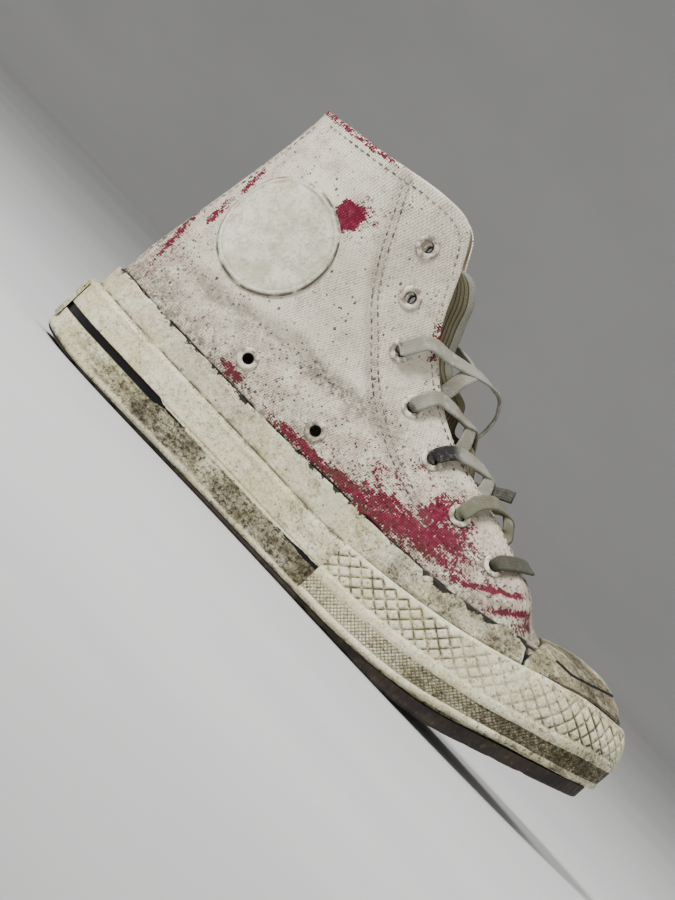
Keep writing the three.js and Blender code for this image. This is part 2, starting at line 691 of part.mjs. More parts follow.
// Tongue: tucked under both flaps, and standing up between them. Each row is at a place on the
// ring of ribs, with how far its middle stands above the flaps and where its edges lie.
const TONGUE_THICK = 2.2;
const TONGUE_UNDER_EDGE = 1.5;
const TONGUE_UNDER_FLAP = 2.8;
const TONGUE = [
  { at: "root", rib: 0.5, raise: 0, tuck: 0.86 },
  { at: "root side", rib: 1.2, raise: 0, tuck: 0.8 },
  { at: "throat front", rib: 2, raise: 0, tuck: 0.83 },
  { at: "row 7", rib: 3, raise: 1, tuck: 0.87 },
  { at: "row 6", rib: 3.6, raise: 1.5, tuck: 0.88 },
  { at: "hollow under row 6", rib: 4.15, raise: 2.5, tuck: 0.88 },
  { at: "front lobe", rib: 4.45, raise: 7.5, tuck: 0.88 },
  { at: "front lobe back", rib: 4.8, raise: 8.5, tuck: 0.88 },
  { at: "hollow under row 5", rib: 5.15, raise: 4, tuck: 0.88 },
  { at: "back lobe", rib: 5.55, raise: 11, tuck: 0.89 },
  { at: "back lobe top", rib: 6, raise: 10.5, tuck: 0.9 },
  { at: "row 3", rib: 6.5, raise: 10, tuck: 0.91 },
  { at: "row 2", rib: 7, raise: 13, tuck: 0.92 },
  { at: "bend", rib: 7.45, raise: 12, tuck: 0.93 },
  { at: "tip", rib: 7.8, raise: 6.5, tuck: 0.94 },
];
const TONGUE_MID = 0.6;
function tonguePoint({ rib, raise, tuck }, q) {
  const t = rib / COUNT;
  const [ta, tb] = [t, 1 - t];
  const under = (place, v, depth) => offSkin(place, v, -CANVAS - depth);
  const flaps = [under(ta, 1, TONGUE_UNDER_EDGE), under(tb, 1, TONGUE_UNDER_EDGE)];
  const ahead = round("edge", t - 0.01).sub(round("edge", t + 0.01)).setY(0).normalize();
  const lift = new THREE.Vector3(-ahead.z, 0, ahead.x);
  const share = Math.abs(q) / TONGUE_MID;
  if (share <= 1) {
    const middle = flaps[0].clone().lerp(flaps[1], (1 + q / TONGUE_MID) / 2);
    return { p: middle.addScaledVector(lift, raise * Math.cos((Math.PI / 2) * share) ** 2), lift };
  }
  const beyond = (Math.abs(q) - TONGUE_MID) / (1 - TONGUE_MID);
  const depth = TONGUE_UNDER_EDGE + (TONGUE_UNDER_FLAP - TONGUE_UNDER_EDGE) * beyond;
  return { p: under(q < 0 ? ta : tb, 1 - (1 - tuck) * beyond, depth), lift };
}
const TONGUE_ACROSS = [-1, -0.8, -0.6, -0.42, -0.2, 0, 0.2, 0.42, 0.6, 0.8, 1];
add(
  "tongue",
  sweep(
    TONGUE.map((row) => {
      const points = TONGUE_ACROSS.map((q) => tonguePoint(row, q));
      return [
        ...points.map(({ p }) => p),
        ...points.map(({ p, lift }) => p.clone().addScaledVector(lift, -TONGUE_THICK)).reverse(),
      ];
    }),
  ),
  MATERIALS.lining,
);

// Laces: flat ribbons whose routes are chosen by hand, from above one eyelet across to the
// other flap. A row's two strands cross and are one solid.
const CROSSINGS = [
  {
    row: 6,
    medial: [[28.8, -29.6, 71.6], [30, -25.5, 77.6], [33.8, -17, 82], [38.5, -5, 83], [42.5, 5, 81.6], [45.5, 11.5, 79.6]],
    lateral: [[28.8, 29.6, 71.6], [31, 25, 77.4], [35.5, 15, 81.5], [39, 4, 82.2], [42.5, -5, 81.2], [45.5, -11.5, 79.6]],
  },
  {
    row: 5,
    medial: [[5.5, -24.6, 79.5], [9.2, -20, 84.6], [16, -13.5, 87.2], [22.5, -5, 88], [26, 5, 87.2], [28, 12.5, 84.2]],
    lateral: [[5.5, 24.6, 79.5], [10, 19.5, 85], [17, 13, 87], [22.5, 4, 87.6], [25.5, -5, 86.8], [27, -12, 84.6]],
  },
  {
    row: 4,
    medial: [[-15, -22.4, 88], [-11.5, -19.2, 94.2], [-4.5, -13.5, 96], [1.5, -6, 96], [7, 3, 96], [12, 12.5, 91]],
    lateral: [[-15, 22.4, 88], [-11, 19.2, 94], [-4, 13.5, 95.6], [2, 6, 95.6], [6, -3, 95.2], [9, -13, 91]],
  },
  {
    row: 3,
    medial: [[-34, -23.6, 99.8], [-28.5, -22, 107.2], [-20, -16, 108.8], [-12, -9, 111], [-4, -1, 113], [4, 7, 112], [8.5, 11.5, 107.5], [11, 15, 100], [11.5, 17, 92]],
    lateral: [[-34, 23.6, 99.8], [-28.5, 21.5, 107.8], [-22, 14, 112], [-14, 4, 113.3], [-9, -4, 112.4], [-10, -12, 107], [-12, -15.5, 102]],
  },
];
const BAR = [[53.5, -28.4, 68.8], [57, -24, 71.6], [61, -13, 73.8], [62, 0, 74.2], [61, 13, 73.8], [57, 24, 71.6], [53.5, 28.4, 68.8]];
const LACE_END = [[10.5, 25.3, 77], [16, 23.3, 78.1], [21.5, 21, 79.8], [27, 18, 82], [31.8, 15.6, 86], [36.9, 12, 88.8]];
const LACE_END_WIDTH = 5.2;
const LACE_LEAN = 18;
const lyingFace = (p) => new THREE.Vector3(0.2, p.y / LACE_LEAN, 1);
const turnedFace = (p) => new THREE.Vector3(0, 0.75, 0.66).lerp(new THREE.Vector3(-0.2, 1, -0.3), smooth(20, 30, p.x));
function ribbon(route, steps, width = LACE_WIDTH, faceAt = lyingFace) {
  const curve = new THREE.CatmullRomCurve3(route.map(([x, y, z]) => new THREE.Vector3(x, y, z)));
  return sweep(
    evenly(steps).map((share) => {
      const p = curve.getPoint(share);
      const along = curve.getTangent(share);
      const face = faceAt(p);
      face.addScaledVector(along, -face.dot(along)).setLength(LACE_THICK / 2);
      const side = along.clone().cross(face).setLength(width / 2);
      return [
        p.clone().add(side).sub(face),
        p.clone().sub(side).sub(face),
        p.clone().sub(side).add(face),
        p.clone().add(side).add(face),
      ];
    }),
  );
}
CROSSINGS.forEach(({ row, medial, lateral }) =>
  add(`lace_cross_${row}`, ribbon(medial, 10).add(ribbon(lateral, 10)), MATERIALS.lace),
);
add("lace_bar_7", ribbon(BAR, 12), MATERIALS.lace);
add("lace_end", ribbon(LACE_END, 8, LACE_END_WIDTH, turnedFace), MATERIALS.lace);

export default shoe;
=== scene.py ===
"""Worn high-top canvas sneaker for the left foot: the looks of the part, built round its solids.

Lengths in the tables are millimetres. +X points to the toe, -Y to the medial side, +Z up.
"""

import math

import bpy
import numpy as np
from bpy.props import FloatProperty, FloatVectorProperty, IntProperty, PointerProperty
from mathutils import Matrix, Vector


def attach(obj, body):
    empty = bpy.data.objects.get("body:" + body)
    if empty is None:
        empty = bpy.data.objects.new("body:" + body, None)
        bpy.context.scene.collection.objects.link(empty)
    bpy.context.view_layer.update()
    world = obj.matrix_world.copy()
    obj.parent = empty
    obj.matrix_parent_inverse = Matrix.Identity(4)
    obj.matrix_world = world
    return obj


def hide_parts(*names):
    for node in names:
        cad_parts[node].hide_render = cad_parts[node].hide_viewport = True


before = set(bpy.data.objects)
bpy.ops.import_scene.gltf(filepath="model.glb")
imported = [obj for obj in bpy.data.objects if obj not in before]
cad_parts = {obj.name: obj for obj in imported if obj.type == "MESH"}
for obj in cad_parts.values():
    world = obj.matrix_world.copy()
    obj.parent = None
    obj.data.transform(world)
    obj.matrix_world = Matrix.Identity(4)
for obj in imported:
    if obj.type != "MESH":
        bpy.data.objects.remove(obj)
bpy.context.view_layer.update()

bl_info = {
    "name": "Worn High-Top Sneaker",
    "version": (1, 0, 0),
    "blender": (4, 5, 0),
    "location": "View3D > Sidebar > Sneaker",
    "description": "Builds a worn high-top canvas sneaker round its packed solids",
    "category": "Add Mesh",
}

MM = 0.001

# Thicknesses, and offsets outwards from the last. A REACH is a share of the way round the shoe.
GAP = 0.3
CANVAS = 1.8
HEEL_STRIP = 0.7
STRIP_REACH = 0.022
STRIP_FOOT = 0.24
TAPE_IN = 0.5
TAPE = 1.3
CAP_RUBBER = 2.0
WALL_IN = TAPE_IN + TAPE + GAP
WALL_OUT = 4.9
BUMPER_IN = WALL_OUT + GAP + 0.3
BUMPER_OUT = 6.6
BUMPER_LIP = 0.6
PLATE_OUT = 6.3
PLATE_REACH = 0.022
PLATE_LOW = 8.0
PLATE_TOP = 26.5
STRIPE_TALL = 3.0
BUMPER_REAR_X = 7.0
CAP_REAR_X = 87.0
CAP_REAR_BOW = 3.0
CAP_REAR_SINK = 3.2
DIAMOND_TALL = 0.86
DIAMOND_DEEP = 0.95

# The last. Columns: feather line x, y on the medial side and x, y on the lateral side; opening
# edge x, y, z; rise and flare off the feather line; how the rib comes into the edge: back, side, down.
LAST = [
    (135.2, -5, 135.2, -5, 66, 1.5, 68, 35.5, 4, 29, 0, 5),
    (125.5, -23, 127, 14, 64, 5.5, 68.5, 31, 2.2, 26, 14, 5),
    (104, -36.8, 105.5, 31, 59, 8, 70.5, 34, 1.5, 17, 20, 5),
    (66, -44.3, 72, 42, 48, 10, 75, 38, 0.5, 8, 21, 5),
    (26, -41.3, 32, 44.4, 26, 12, 81, 36, 0, 2, 21, 6),
    (-12, -34.5, -8, 41, 5, 13.5, 87, 36, 0, -3, 18, 12),
    (-44, -30.5, -44, 36, -14, 15, 98, 40, 0, -8, 13, 20),
    (-68, -31.3, -70, 33.5, -30, 17, 114, 42, 0, -9, 9, 28),
    (-86, -32, -87, 33, -42, 19.5, 137, 44, 0, -10, 6, 38),
    (-98, -31.8, -99, 32.6, -51.5, 22.5, 149.5, 44, 0, -9, 3, 42),
    (-108, -30, -109, 30.8, -67, 26.5, 150.5, 42, 0, -6, -0.5, 42),
    (-121, -24.6, -121.5, 25.2, -93, 28, 145.5, 40, 0.8, -3, -3, 42),
    (-131.8, -13, -131.8, 13.5, -115.5, 17.5, 142.2, 42, 0.8, -1.5, -2, 42),
    (-136.2, 0, -136.2, 0, -123.5, 0, 141.5, 44, 0.5, -1, 0, 42),
]

# Sags and ridges seen from above. Columns: x, y, reach along, reach across, depth, share on the cap.
SAGS = [
    (83, -6, 9, 42, 8, 0.3),
    (66, 0, 7, 30, -1.2, 0),
    (93, 0, 15, 30, 4.2, 1),
]

# Heights along the shoe. Columns: x, foxing top, tape top, ridge, lower edge of the sidewall.
SIDE_LINES = np.array(
    [
        (-142, 29, 39.5, 13.2, 1.2),
        (-60, 28.5, 39.7, 13.2, 1.8),
        (-5, 28.7, 42, 13.2, 2.4),
        (30, 32.5, 44, 14.5, 3.2),
        (60, 38, 48.3, 19.5, 7),
        (88, 45.3, 54, 26, 15),
        (112, 52, 58, 34, 23),
        (128, 55.8, 60, 40, 28.4),
        (143, 57, 61, 44, 33.5),
    ],
    float,
)
FOXING, TAPE_TOP, RIDGE, LOWER = 1, 2, 3, 4

SPRING_START = 48.0
SPRING_RADIUS = 110.0
SPRING_SLOPE = 0.36
HEEL_WEAR_START = -112.0
HEEL_WEAR = 0.0035

# Eyelets, by the place of each hole on the side. Columns: x, z.
LACE_EYELETS = [(-56.5, 132.5), (-47, 114), (-34.5, 97), (-15.5, 85), (5, 76.5), (28.5, 69), (52, 65)]
VENT_EYELETS = [(-73.2, 51.5), (-34.5, 51)]
HOLE_RADIUS = 3.7

# Groups of eyelets. Columns: piece, stem of its solids' names, holes, side, size.
EYELET_GROUPS = [
    ("eyelets_medial", "eyelet_medial", LACE_EYELETS, -1, 1.0),
    ("eyelets_lateral", "eyelet_lateral", LACE_EYELETS, 1, 1.0),
    ("vents", "vent", VENT_EYELETS, -1, 0.94),
]

# An eyelet's rolled section. Columns: radius, height over the canvas.
EYELET_PROFILE = [
    (2.2, -2.0), (3.9, -2.25), (3.9, -2.0), (2.75, -1.9), (2.75, 0.2), (4.75, 0.2), (4.85, 0.45),
    (4.5, 0.85), (3.9, 1.05), (3.2, 1.0), (2.7, 0.7), (2.35, 0.1), (2.25, -1.0),
]
EYELET_SIDES = 36

PATCH_AT = (-100.5, 93)
PATCH_RADIUS = 24.8
PATCH_RUBBER = 1.1

# Soft creases of the canvas, in side view. Columns: side (-1 medial, 1 lateral, 0 both), reach
# to each side of the line, depth (ridges below nothing), and the line's points as x, z.
CREASES = [
    (-1, 3.2, 1.1, [(-122, 58), (-100, 57), (-84, 63), (-70, 67), (-52, 66)]),
    (-1, 4.5, -0.9, [(-118, 66), (-98, 65), (-80, 71), (-60, 74), (-40, 72)]),
    (-1, 3.5, 1.0, [(-66, 60), (-48, 66), (-30, 70), (-12, 68), (2, 62)]),
    (-1, 3.5, -0.8, [(-60, 54), (-40, 59), (-18, 62), (0, 57)]),
    (-1, 3.0, 0.8, [(-54, 88), (-40, 80), (-24, 74), (-8, 72)]),
    (-1, 4.0, 0.7, [(-124, 118), (-108, 124), (-90, 123), (-74, 117)]),
    (-1, 2.4, 0.9, [(48, 53), (57, 58), (66, 64), (71, 67)]),
    (-1, 2.2, 0.9, [(63, 52), (70, 57), (76, 62)]),
    (-1, 2.6, -0.7, [(55, 52), (64, 58), (72, 63)]),
    (-1, 3.0, 0.6, [(12, 60), (26, 56), (42, 54), (54, 57)]),
    (-1, 5.0, 0.9, [(-60, 100), (-56, 112), (-58, 124)]),
    (1, 3.4, 1.1, [(-120, 60), (-98, 62), (-78, 66), (-56, 64)]),
    (1, 4.0, -0.8, [(-112, 70), (-90, 72), (-66, 73), (-44, 70)]),
    (1, 3.4, 1.0, [(-58, 62), (-36, 67), (-14, 66), (4, 60)]),
    (1, 3.2, 0.8, [(-48, 86), (-34, 78), (-16, 73)]),
    (1, 2.4, 0.9, [(46, 54), (57, 60), (68, 65)]),
    (1, 2.2, 0.8, [(62, 52), (70, 58), (77, 62)]),
    (0, 2.6, 0.5, [(77, 58), (78, 66), (79, 72)]),
]

# Where the white paint has gone and the red canvas shows. Columns: side, x, z, half length,
# half height, tilt in degrees, strength.
RED_WEAR = [
    (-1, -73, 43, 9, 2.6, 0, 1.1),
    (-1, -60, 42.5, 12, 1.2, 0, 0.6),
    (-1, -34, 43.2, 17, 2.4, 2, 1.1),
    (-1, -8, 45.8, 18, 4.0, 8, 1.2),
    (-1, 15, 50.5, 30, 8.0, 12, 1.14),
    (-1, 28, 57, 19, 8.0, 18, 1.1),
    (-1, 22, 64, 6, 12, -24, 1.15),
    (-1, 34, 63, 3.2, 9, 0, 0.95),
    (-1, 38, 53.5, 11, 4, 5, 1.0),
    (-1, 57, 57.5, 16, 1.5, 32, 1.3),
    (-1, 70, 57.5, 13, 1.3, 38, 1.3),
    (-1, 78, 57.5, 3.0, 6, -35, 0.9),
    (-1, -27.5, 110, 2.6, 9, 32, 1.0),
    (-1, 5, 72, 6, 2, -10, 0.5),
    (-1, -2, 60, 12, 5, 14, 0.55),
    (-1, -124, 100, 1.5, 9, 2, 0.95),
    (-1, -124.5, 82, 2.0, 8, 2, 0.95),
    (-1, -129.5, 64, 1.6, 15, 6, 1.0),
    (-1, -86.5, 118.7, 5.4, 5.4, 0, 1.9),
    (-1, -82, 121, 12, 9, 0, 0.42),
    (-1, 64, 74, 13, 1.8, -30, 1.15),
    (1, -70, 43, 12, 2.4, 0, 1.0),
    (1, 6, 47, 24, 4, 8, 1.05),
    (1, 34, 54, 22, 6, 16, 1.05),
    (1, 62, 58, 13, 3, 30, 1.1),
    (1, -112, 90, 5, 3, 0, 0.8),
    (1, -30, 108, 2.6, 9, 32, 0.9),
]

# Grey smudges and olive soil on the canvas; the rows that lie along the creases are painted crease shade as well as
# dirt. Columns as above.
SMUDGES_AND_CREASE_SHADE = [
    (-1, -40, 68, 24, 4.5, 8, 0.75),
    (-1, -96, 60, 26, 4.0, 3, 0.5),
    (-1, -76, 64.5, 24, 1.3, 6, 0.6),
    (-1, -46, 69, 16, 1.4, -8, 0.7),
    (-1, -120, 47, 12, 5, 0, 0.45),
    (-1, -14, 73, 14, 6, -14, 0.45),
    (-1, 44, 63, 14, 6, -6, 0.35),
    (-1, 18, 75, 10, 4, -10, 0.4),
    (-1, -60, 128, 8, 14, 0, 0.25),
    (1, -40, 66, 26, 6, 6, 0.6),
    (1, 40, 64, 20, 7, 0, 0.5),
    (1, -96, 80, 20, 12, 0, 0.35),
]

# Stitching of the upper in side view: points x, z.
FRONT_STITCH = [
    (-83.2, 147), (-78.2, 137.5), (-73.5, 128.5), (-69.5, 121), (-63.5, 111), (-56, 101),
    (-48.2, 94.3), (-40.4, 86.5), (-31.5, 78.7), (-20.4, 72), (-8, 66), (6, 61), (20, 57.6),
]
STITCH_APART = 2.6
STITCH_LONG = 2.3
STITCH_GAP = 0.9
THREAD_RADIUS = 0.36

# Rows of stitching along the edges, by their place round the shoe. Columns: start, end, points, v.
EDGE_STITCHES = [(0.105, 0.30, 120, 0.965), (0.305, 0.475, 90, 0.968)]

# The tape's overlaps at x, and its tears on the medial side at x with their half width.
TAPE_LAPS = (58.0, 86.0, -28.0, 20.0)
TAPE_TEARS = ((57.5, 2.6), (84, 4.5), (36, 1.6), (44, 3.0), (-12, 1.4), (66, 3.4))

# How much of the black stripe is left: places x, and half of its height there.
STRIPE_MEDIAL = [(-142, -87, -83, -64, -58, -24, -16, 8, 12), (2.6, 2.4, 0.7, 0.2, -1.2, -1.2, 0.4, 1.3, -3)]
STRIPE_LATERAL = [(-142, -60, -40, 0, 8, 12), (2.6, 2.0, 0.2, 0.9, 1.2, -3)]

# The crack on the medial side of the toe cap, in side view, and the grooves of the tread at x.
CAP_CRACK = [(96, 57.5), (104, 58), (112, 60.5), (121, 63.5)]
TREADS = np.concatenate([np.linspace(-118, -74, 5), np.linspace(14, 116, 10)])
TREAD_RIB_PITCH = 0.0036

# Tongue. Columns: place on the ring of ribs, rise above the flaps, edge of the tuck.
TONGUE = [
    (0.5, 0, 0.86), (1.2, 0, 0.8), (2, 0, 0.83), (3, 1, 0.87), (3.6, 1.5, 0.88), (4.15, 2.5, 0.88),
    (4.45, 7.5, 0.88), (4.8, 8.5, 0.88), (5.15, 4, 0.88), (5.55, 10.5, 0.89), (6, 8, 0.9),
    (6.4, 6.5, 0.91), (6.9, 9, 0.92), (7.35, 10.5, 0.93), (7.65, 9.5, 0.94), (7.85, 6, 0.94), (7.95, 2, 0.94),
]
TONGUE_MID = 0.6
TONGUE_THICK = 2.2
TONGUE_UNDER_EDGE = 1.5
TONGUE_UNDER_FLAP = 2.8
TONGUE_QUILTING = (2.9, 4.6, 6.2, 7.6)

# Lace routes in metres, from the top of the eyelet that each strand leaves to the far flap.
LACE_ROUTES = {
    "lace_cross_6": {
        "medial": [
            (0.0288, -0.0296, 0.0716), (0.0300, -0.0255, 0.0776), (0.0338, -0.0170, 0.0820),
            (0.0385, -0.0050, 0.0830), (0.0425, 0.0050, 0.0816), (0.0455, 0.0115, 0.0796),
        ],
        "lateral": [
            (0.0288, 0.0296, 0.0716), (0.0310, 0.0250, 0.0774), (0.0355, 0.0150, 0.0815),
            (0.0390, 0.0040, 0.0822), (0.0425, -0.0050, 0.0812), (0.0455, -0.0115, 0.0796),
        ],
    },
    "lace_cross_5": {
        "medial": [
            (0.0055, -0.0246, 0.0795), (0.0092, -0.0200, 0.0846), (0.0160, -0.0135, 0.0872),
            (0.0225, -0.0050, 0.0880), (0.0260, 0.0050, 0.0872), (0.0280, 0.0125, 0.0842),
        ],
        "lateral": [
            (0.0055, 0.0246, 0.0795), (0.0100, 0.0195, 0.0850), (0.0170, 0.0130, 0.0870),
            (0.0225, 0.0040, 0.0876), (0.0255, -0.0050, 0.0868), (0.0270, -0.0120, 0.0846),
        ],
    },
    "lace_cross_4": {
        "medial": [
            (-0.0150, -0.0224, 0.0880), (-0.0115, -0.0192, 0.0942), (-0.0045, -0.0135, 0.0960),
            (0.0015, -0.0060, 0.0960), (0.0070, 0.0030, 0.0960), (0.0120, 0.0125, 0.0910),
        ],
        "lateral": [
            (-0.0150, 0.0224, 0.0880), (-0.0110, 0.0192, 0.0940), (-0.0040, 0.0135, 0.0956),
            (0.0020, 0.0060, 0.0956), (0.0060, -0.0030, 0.0952), (0.0090, -0.0130, 0.0910),
        ],
    },
    "lace_cross_3": {
        "medial": [
            (-0.0340, -0.0236, 0.0998), (-0.0285, -0.0220, 0.1072), (-0.0200, -0.0160, 0.1088),
            (-0.0120, -0.0090, 0.1110), (-0.0040, -0.0010, 0.1130), (0.0040, 0.0070, 0.1120),
            (0.0088, 0.0115, 0.1065), (0.0100, 0.0125, 0.0990), (0.0095, 0.0118, 0.0920),
            (0.0090, 0.0120, 0.0880),
        ],
        "lateral": [
            (-0.0340, 0.0236, 0.0998), (-0.0285, 0.0215, 0.1078), (-0.0220, 0.0140, 0.1120),
            (-0.0140, 0.0040, 0.1133), (-0.0090, -0.0040, 0.1124), (-0.0100, -0.0120, 0.1070),
            (-0.0120, -0.0155, 0.1020),
        ],
    },
}
LACE_BAR = [
    (0.0535, -0.0284, 0.0688), (0.0570, -0.0240, 0.0716), (0.0610, -0.0130, 0.0738),
    (0.0620, 0.0, 0.0742), (0.0610, 0.0130, 0.0738), (0.0570, 0.0240, 0.0716), (0.0535, 0.0284, 0.0688),
]
LACE_END = [
    (0.0105, 0.0253, 0.0770), (0.0160, 0.0233, 0.0781), (0.0215, 0.0210, 0.0798),
    (0.0270, 0.0180, 0.0820), (0.0318, 0.0156, 0.0860), (0.0369, 0.0120, 0.0888),
]
LACE_END_WIDTH = 0.0052
LACE_LEAN = 0.018
LACE_WEAVE_PITCH = 0.0009
LACE_CROSS_PITCH = 0.0011
KNURL_PITCH = 0.0019

# The lower half of a lace's section, as shares of its width and thickness.
LACE_SECTION = [
    (-0.5, -0.18), (-0.46, -0.42), (-0.36, -0.5), (-0.18, -0.44), (0, -0.42),
    (0.18, -0.44), (0.36, -0.5), (0.46, -0.42), (0.5, -0.18),
]

# The view of the photograph, in degrees and metres.
CAMERA_ROLL = 46.4
CAMERA_AZIMUTH = 3
CAMERA_ELEVATION = 1.4
CAMERA_TARGET = (-0.0246, 0.0, 0.0515)
CAMERA_DISTANCE = 2.2
CAMERA_LENS = 222

FLOOR_RADIUS = 3.0
FLOOR_BEND = 1.2

SKY = (0.9, 0.89, 0.87, 1)
SKY_STRENGTH = 0.36

# Lamps. Columns: name, place, size, power in watts.
LAMPS = [
    ("key", (-0.85, -0.8, 1.25), 0.5, 39),
    ("fill", (0.9, -1.3, 0.5), 1.4, 5),
    ("top", (0.1, 0.2, 1.6), 1.2, 13),
]


def paint(red, green, blue):
    """A colour given as it looks, from 0 to 255, as linear light."""
    return tuple(((c / 255 + 0.055) / 1.055) ** 2.4 if c > 10 else c / 3294.6 for c in (red, green, blue))


# ---- Sizes and colours a user may change


class SneakerSettings(bpy.types.PropertyGroup):
    weave_pitch: FloatProperty(
        name="Weave pitch", description="Distance between two threads of the canvas", default=0.00095, unit="LENGTH"
    )
    crease_depth: FloatProperty(
        name="Crease depth", description="Share of the charted depth of the canvas's creases", default=1.0, min=0, max=2
    )
    lace_width: FloatProperty(name="Lace width", description="Width of the flat laces", default=0.0063, unit="LENGTH")
    lace_thick: FloatProperty(
        name="Lace thickness", description="Thickness of the laces", default=0.0014, unit="LENGTH"
    )
    diamond_pitch: FloatProperty(
        name="Diamond pitch", description="Width of one diamond of the toe bumper", default=0.0064, unit="LENGTH"
    )
    columns: IntProperty(name="Columns", description="Columns of the upper's mesh round the shoe", default=440)
    canvas_paint: FloatVectorProperty(
        name="Canvas paint", description="Faded white paint of the upper", subtype="COLOR", default=paint(243, 238, 214)
    )
    canvas_red: FloatVectorProperty(
        name="Red canvas", description="Canvas under the worn paint", subtype="COLOR", default=paint(118, 30, 54)
    )
    rubber_cream: FloatVectorProperty(
        name="Cream rubber", description="Sidewall and toe bumper", subtype="COLOR", default=paint(240, 233, 198)
    )
    soil: FloatVectorProperty(
        name="Soil", description="Dirt on rubber and canvas", subtype="COLOR", default=paint(74, 65, 44)
    )
    cap_paint: FloatVectorProperty(
        name="Toe cap", description="Soiled rubber of the toe cap", subtype="COLOR", default=paint(102, 96, 76)
    )
    outsole_brown: FloatVectorProperty(
        name="Outsole", description="Brown tread rubber", subtype="COLOR", default=paint(34, 27, 23)
    )
    lace_grey: FloatVectorProperty(
        name="Laces", description="Grey of the laces", subtype="COLOR", default=paint(152, 150, 140)
    )
    tongue_tan: FloatVectorProperty(
        name="Tongue", description="Stained tan of the tongue", subtype="COLOR", default=paint(108, 102, 78)
    )


def settings():
    return bpy.context.scene.sneaker


# ---- The shoe's form, as functions of place


def smooth(a, b, x):
    """0 up to a and 1 from b on, with a soft start and end between them."""
    s = np.clip((np.asarray(x, float) - a) / (b - a), 0, 1)
    return s * s * (3 - 2 * s)


def between(a, b, c, d, s):
    """The smooth curve from b to c, with a before and d after them."""
    return 0.5 * (2 * b + (c - a) * s + (2 * a - 5 * b + 4 * c - d) * s * s + (3 * b - a - 3 * c + d) * s**3)


def through(values, i, s):
    """The smooth line through values, a share s of the way from value i to the next."""
    before, after = np.maximum(i - 1, 0), np.minimum(i + 2, len(values) - 1)
    return between(values[before], values[i], values[i + 1], values[after], s)


def run_length(points):
    """Length from the first point of a line to each of its points."""
    return np.concatenate([[0], np.cumsum(np.linalg.norm(np.diff(points, axis=0), axis=-1))])


def at_length(wanted, length, values):
    """Values along a line at the wanted lengths."""
    return np.stack([np.interp(wanted, length, column) for column in values.T], -1)


def side_line(column, x):
    """A column of SIDE_LINES at x."""
    xs = SIDE_LINES[:, 0]
    i = np.clip(np.searchsorted(xs, x, side="right") - 1, 0, len(xs) - 2)
    s = np.clip((x - xs[i]) / (xs[i + 1] - xs[i]), 0, 1)
    return through(SIDE_LINES[:, column], i, s)


def ground(x):
    """Height of the underside: flat, with toe spring and a worn heel."""
    end = SPRING_START + SPRING_SLOPE * SPRING_RADIUS
    run = np.minimum(x, end) - SPRING_START
    arc = np.where(run > 0, run * run / (2 * SPRING_RADIUS), 0)
    wear = np.maximum(0, HEEL_WEAR_START - x)
    return arc + np.maximum(0, x - end) * SPRING_SLOPE + HEEL_WEAR * wear * wear


def outsole_top(x):
    return ground(x) + 4 + 2.5 * smooth(0, 90, x)


def slab_top(x):
    wear = np.maximum(0, HEEL_WEAR_START - x)
    return outsole_top(x) + GAP + 4.5 + 4.5 * smooth(-15, -80, x) - HEEL_WEAR * wear * wear


def lower_edge(x):
    return np.maximum(side_line(LOWER, x), ground(x) + 1.2)


def make_ring():
    """The ribs round the shoe: their feet, edges and the handles between them."""
    half = len(LAST) - 1
    count = 2 * half
    ribs = [(k, LAST[min(k, count - k)], 0 if k in (0, half) else -1 if k < half else 1) for k in range(count)]
    foot, edge = np.zeros((count, 3)), np.zeros((count, 3))
    for k, row, side in ribs:
        x, y = row[0:2] if k <= half else row[2:4]
        foot[k] = (x, y, slab_top(x) + GAP)
        edge[k] = (row[4], side * row[5], row[6])
    rings = {"foot": foot, "edge": edge, "low": foot.copy(), "high": edge.copy()}
    for k, row, side in ribs:
        rings["low"][k] += outward(k / count, rings) * row[8] + np.array((0, 0, row[7]))
        rings["high"][k] += np.array((row[9], side * row[10], -row[11]))
    return rings


def around(key, t, rings=None):
    """A vector round the ring at t, from 0 at the toe by the medial side back to 1."""
    ring = (rings or RING)[key]
    u = np.mod(np.asarray(t, float), 1.0) * len(ring)
    i = np.floor(u).astype(int)
    s = (u - i)[..., None]
    a, b, c, d = (ring[(i + k) % len(ring)] for k in (-1, 0, 1, 2))
    return between(a, b, c, d, s)


def outward(t, rings=None):
    """The level direction out of the last at t."""
    along = around("foot", np.asarray(t) + 0.004, rings) - around("foot", np.asarray(t) - 0.004, rings)
    out = np.stack([-along[..., 1], along[..., 0], np.zeros_like(along[..., 0])], -1)
    return out / np.linalg.norm(out, axis=-1, keepdims=True)


RING = make_ring()


def last(t, v):
    """The last: t round the shoe from the toe, v from the feather line up to the opening."""
    foot = around("foot", t)
    foot[..., 2] = slab_top(foot[..., 0]) + GAP
    v = np.asarray(v, float)[..., None]
    w = 1 - v
    return w**3 * foot + 3 * w * w * v * around("low", t) + 3 * w * v * v * around("high", t) + v**3 * around("edge", t)


def skin(t, v, on_cap=False):
    """The last with its sags, which the canvas and the toe cap follow."""
    p = last(t, v)
    for x, y, along, across, deep, share in SAGS:
        fall = np.exp(-(((p[..., 0] - x) / along) ** 2) - ((p[..., 1] - y) / across) ** 2)
        p[..., 2] -= deep * (share if on_cap else 1) * fall * smooth(0.3, 0.6, v)
    return p


def unit(a):
    return a / np.maximum(np.linalg.norm(a, axis=-1, keepdims=True), 1e-12)


def skin_normal(t, v, on_cap=False):
    t, v = np.asarray(t, float), np.asarray(v, float)
    across = skin(t + 0.003, v, on_cap) - skin(t - 0.003, v, on_cap)
    up = skin(t, np.minimum(1, v + 0.012), on_cap) - skin(t, np.maximum(0, v - 0.012), on_cap)
    return unit(np.cross(up, across))


def off_skin(t, v, off, on_cap=False):
    return skin(t, v, on_cap) + skin_normal(t, v, on_cap) * np.asarray(off, float)[..., None]


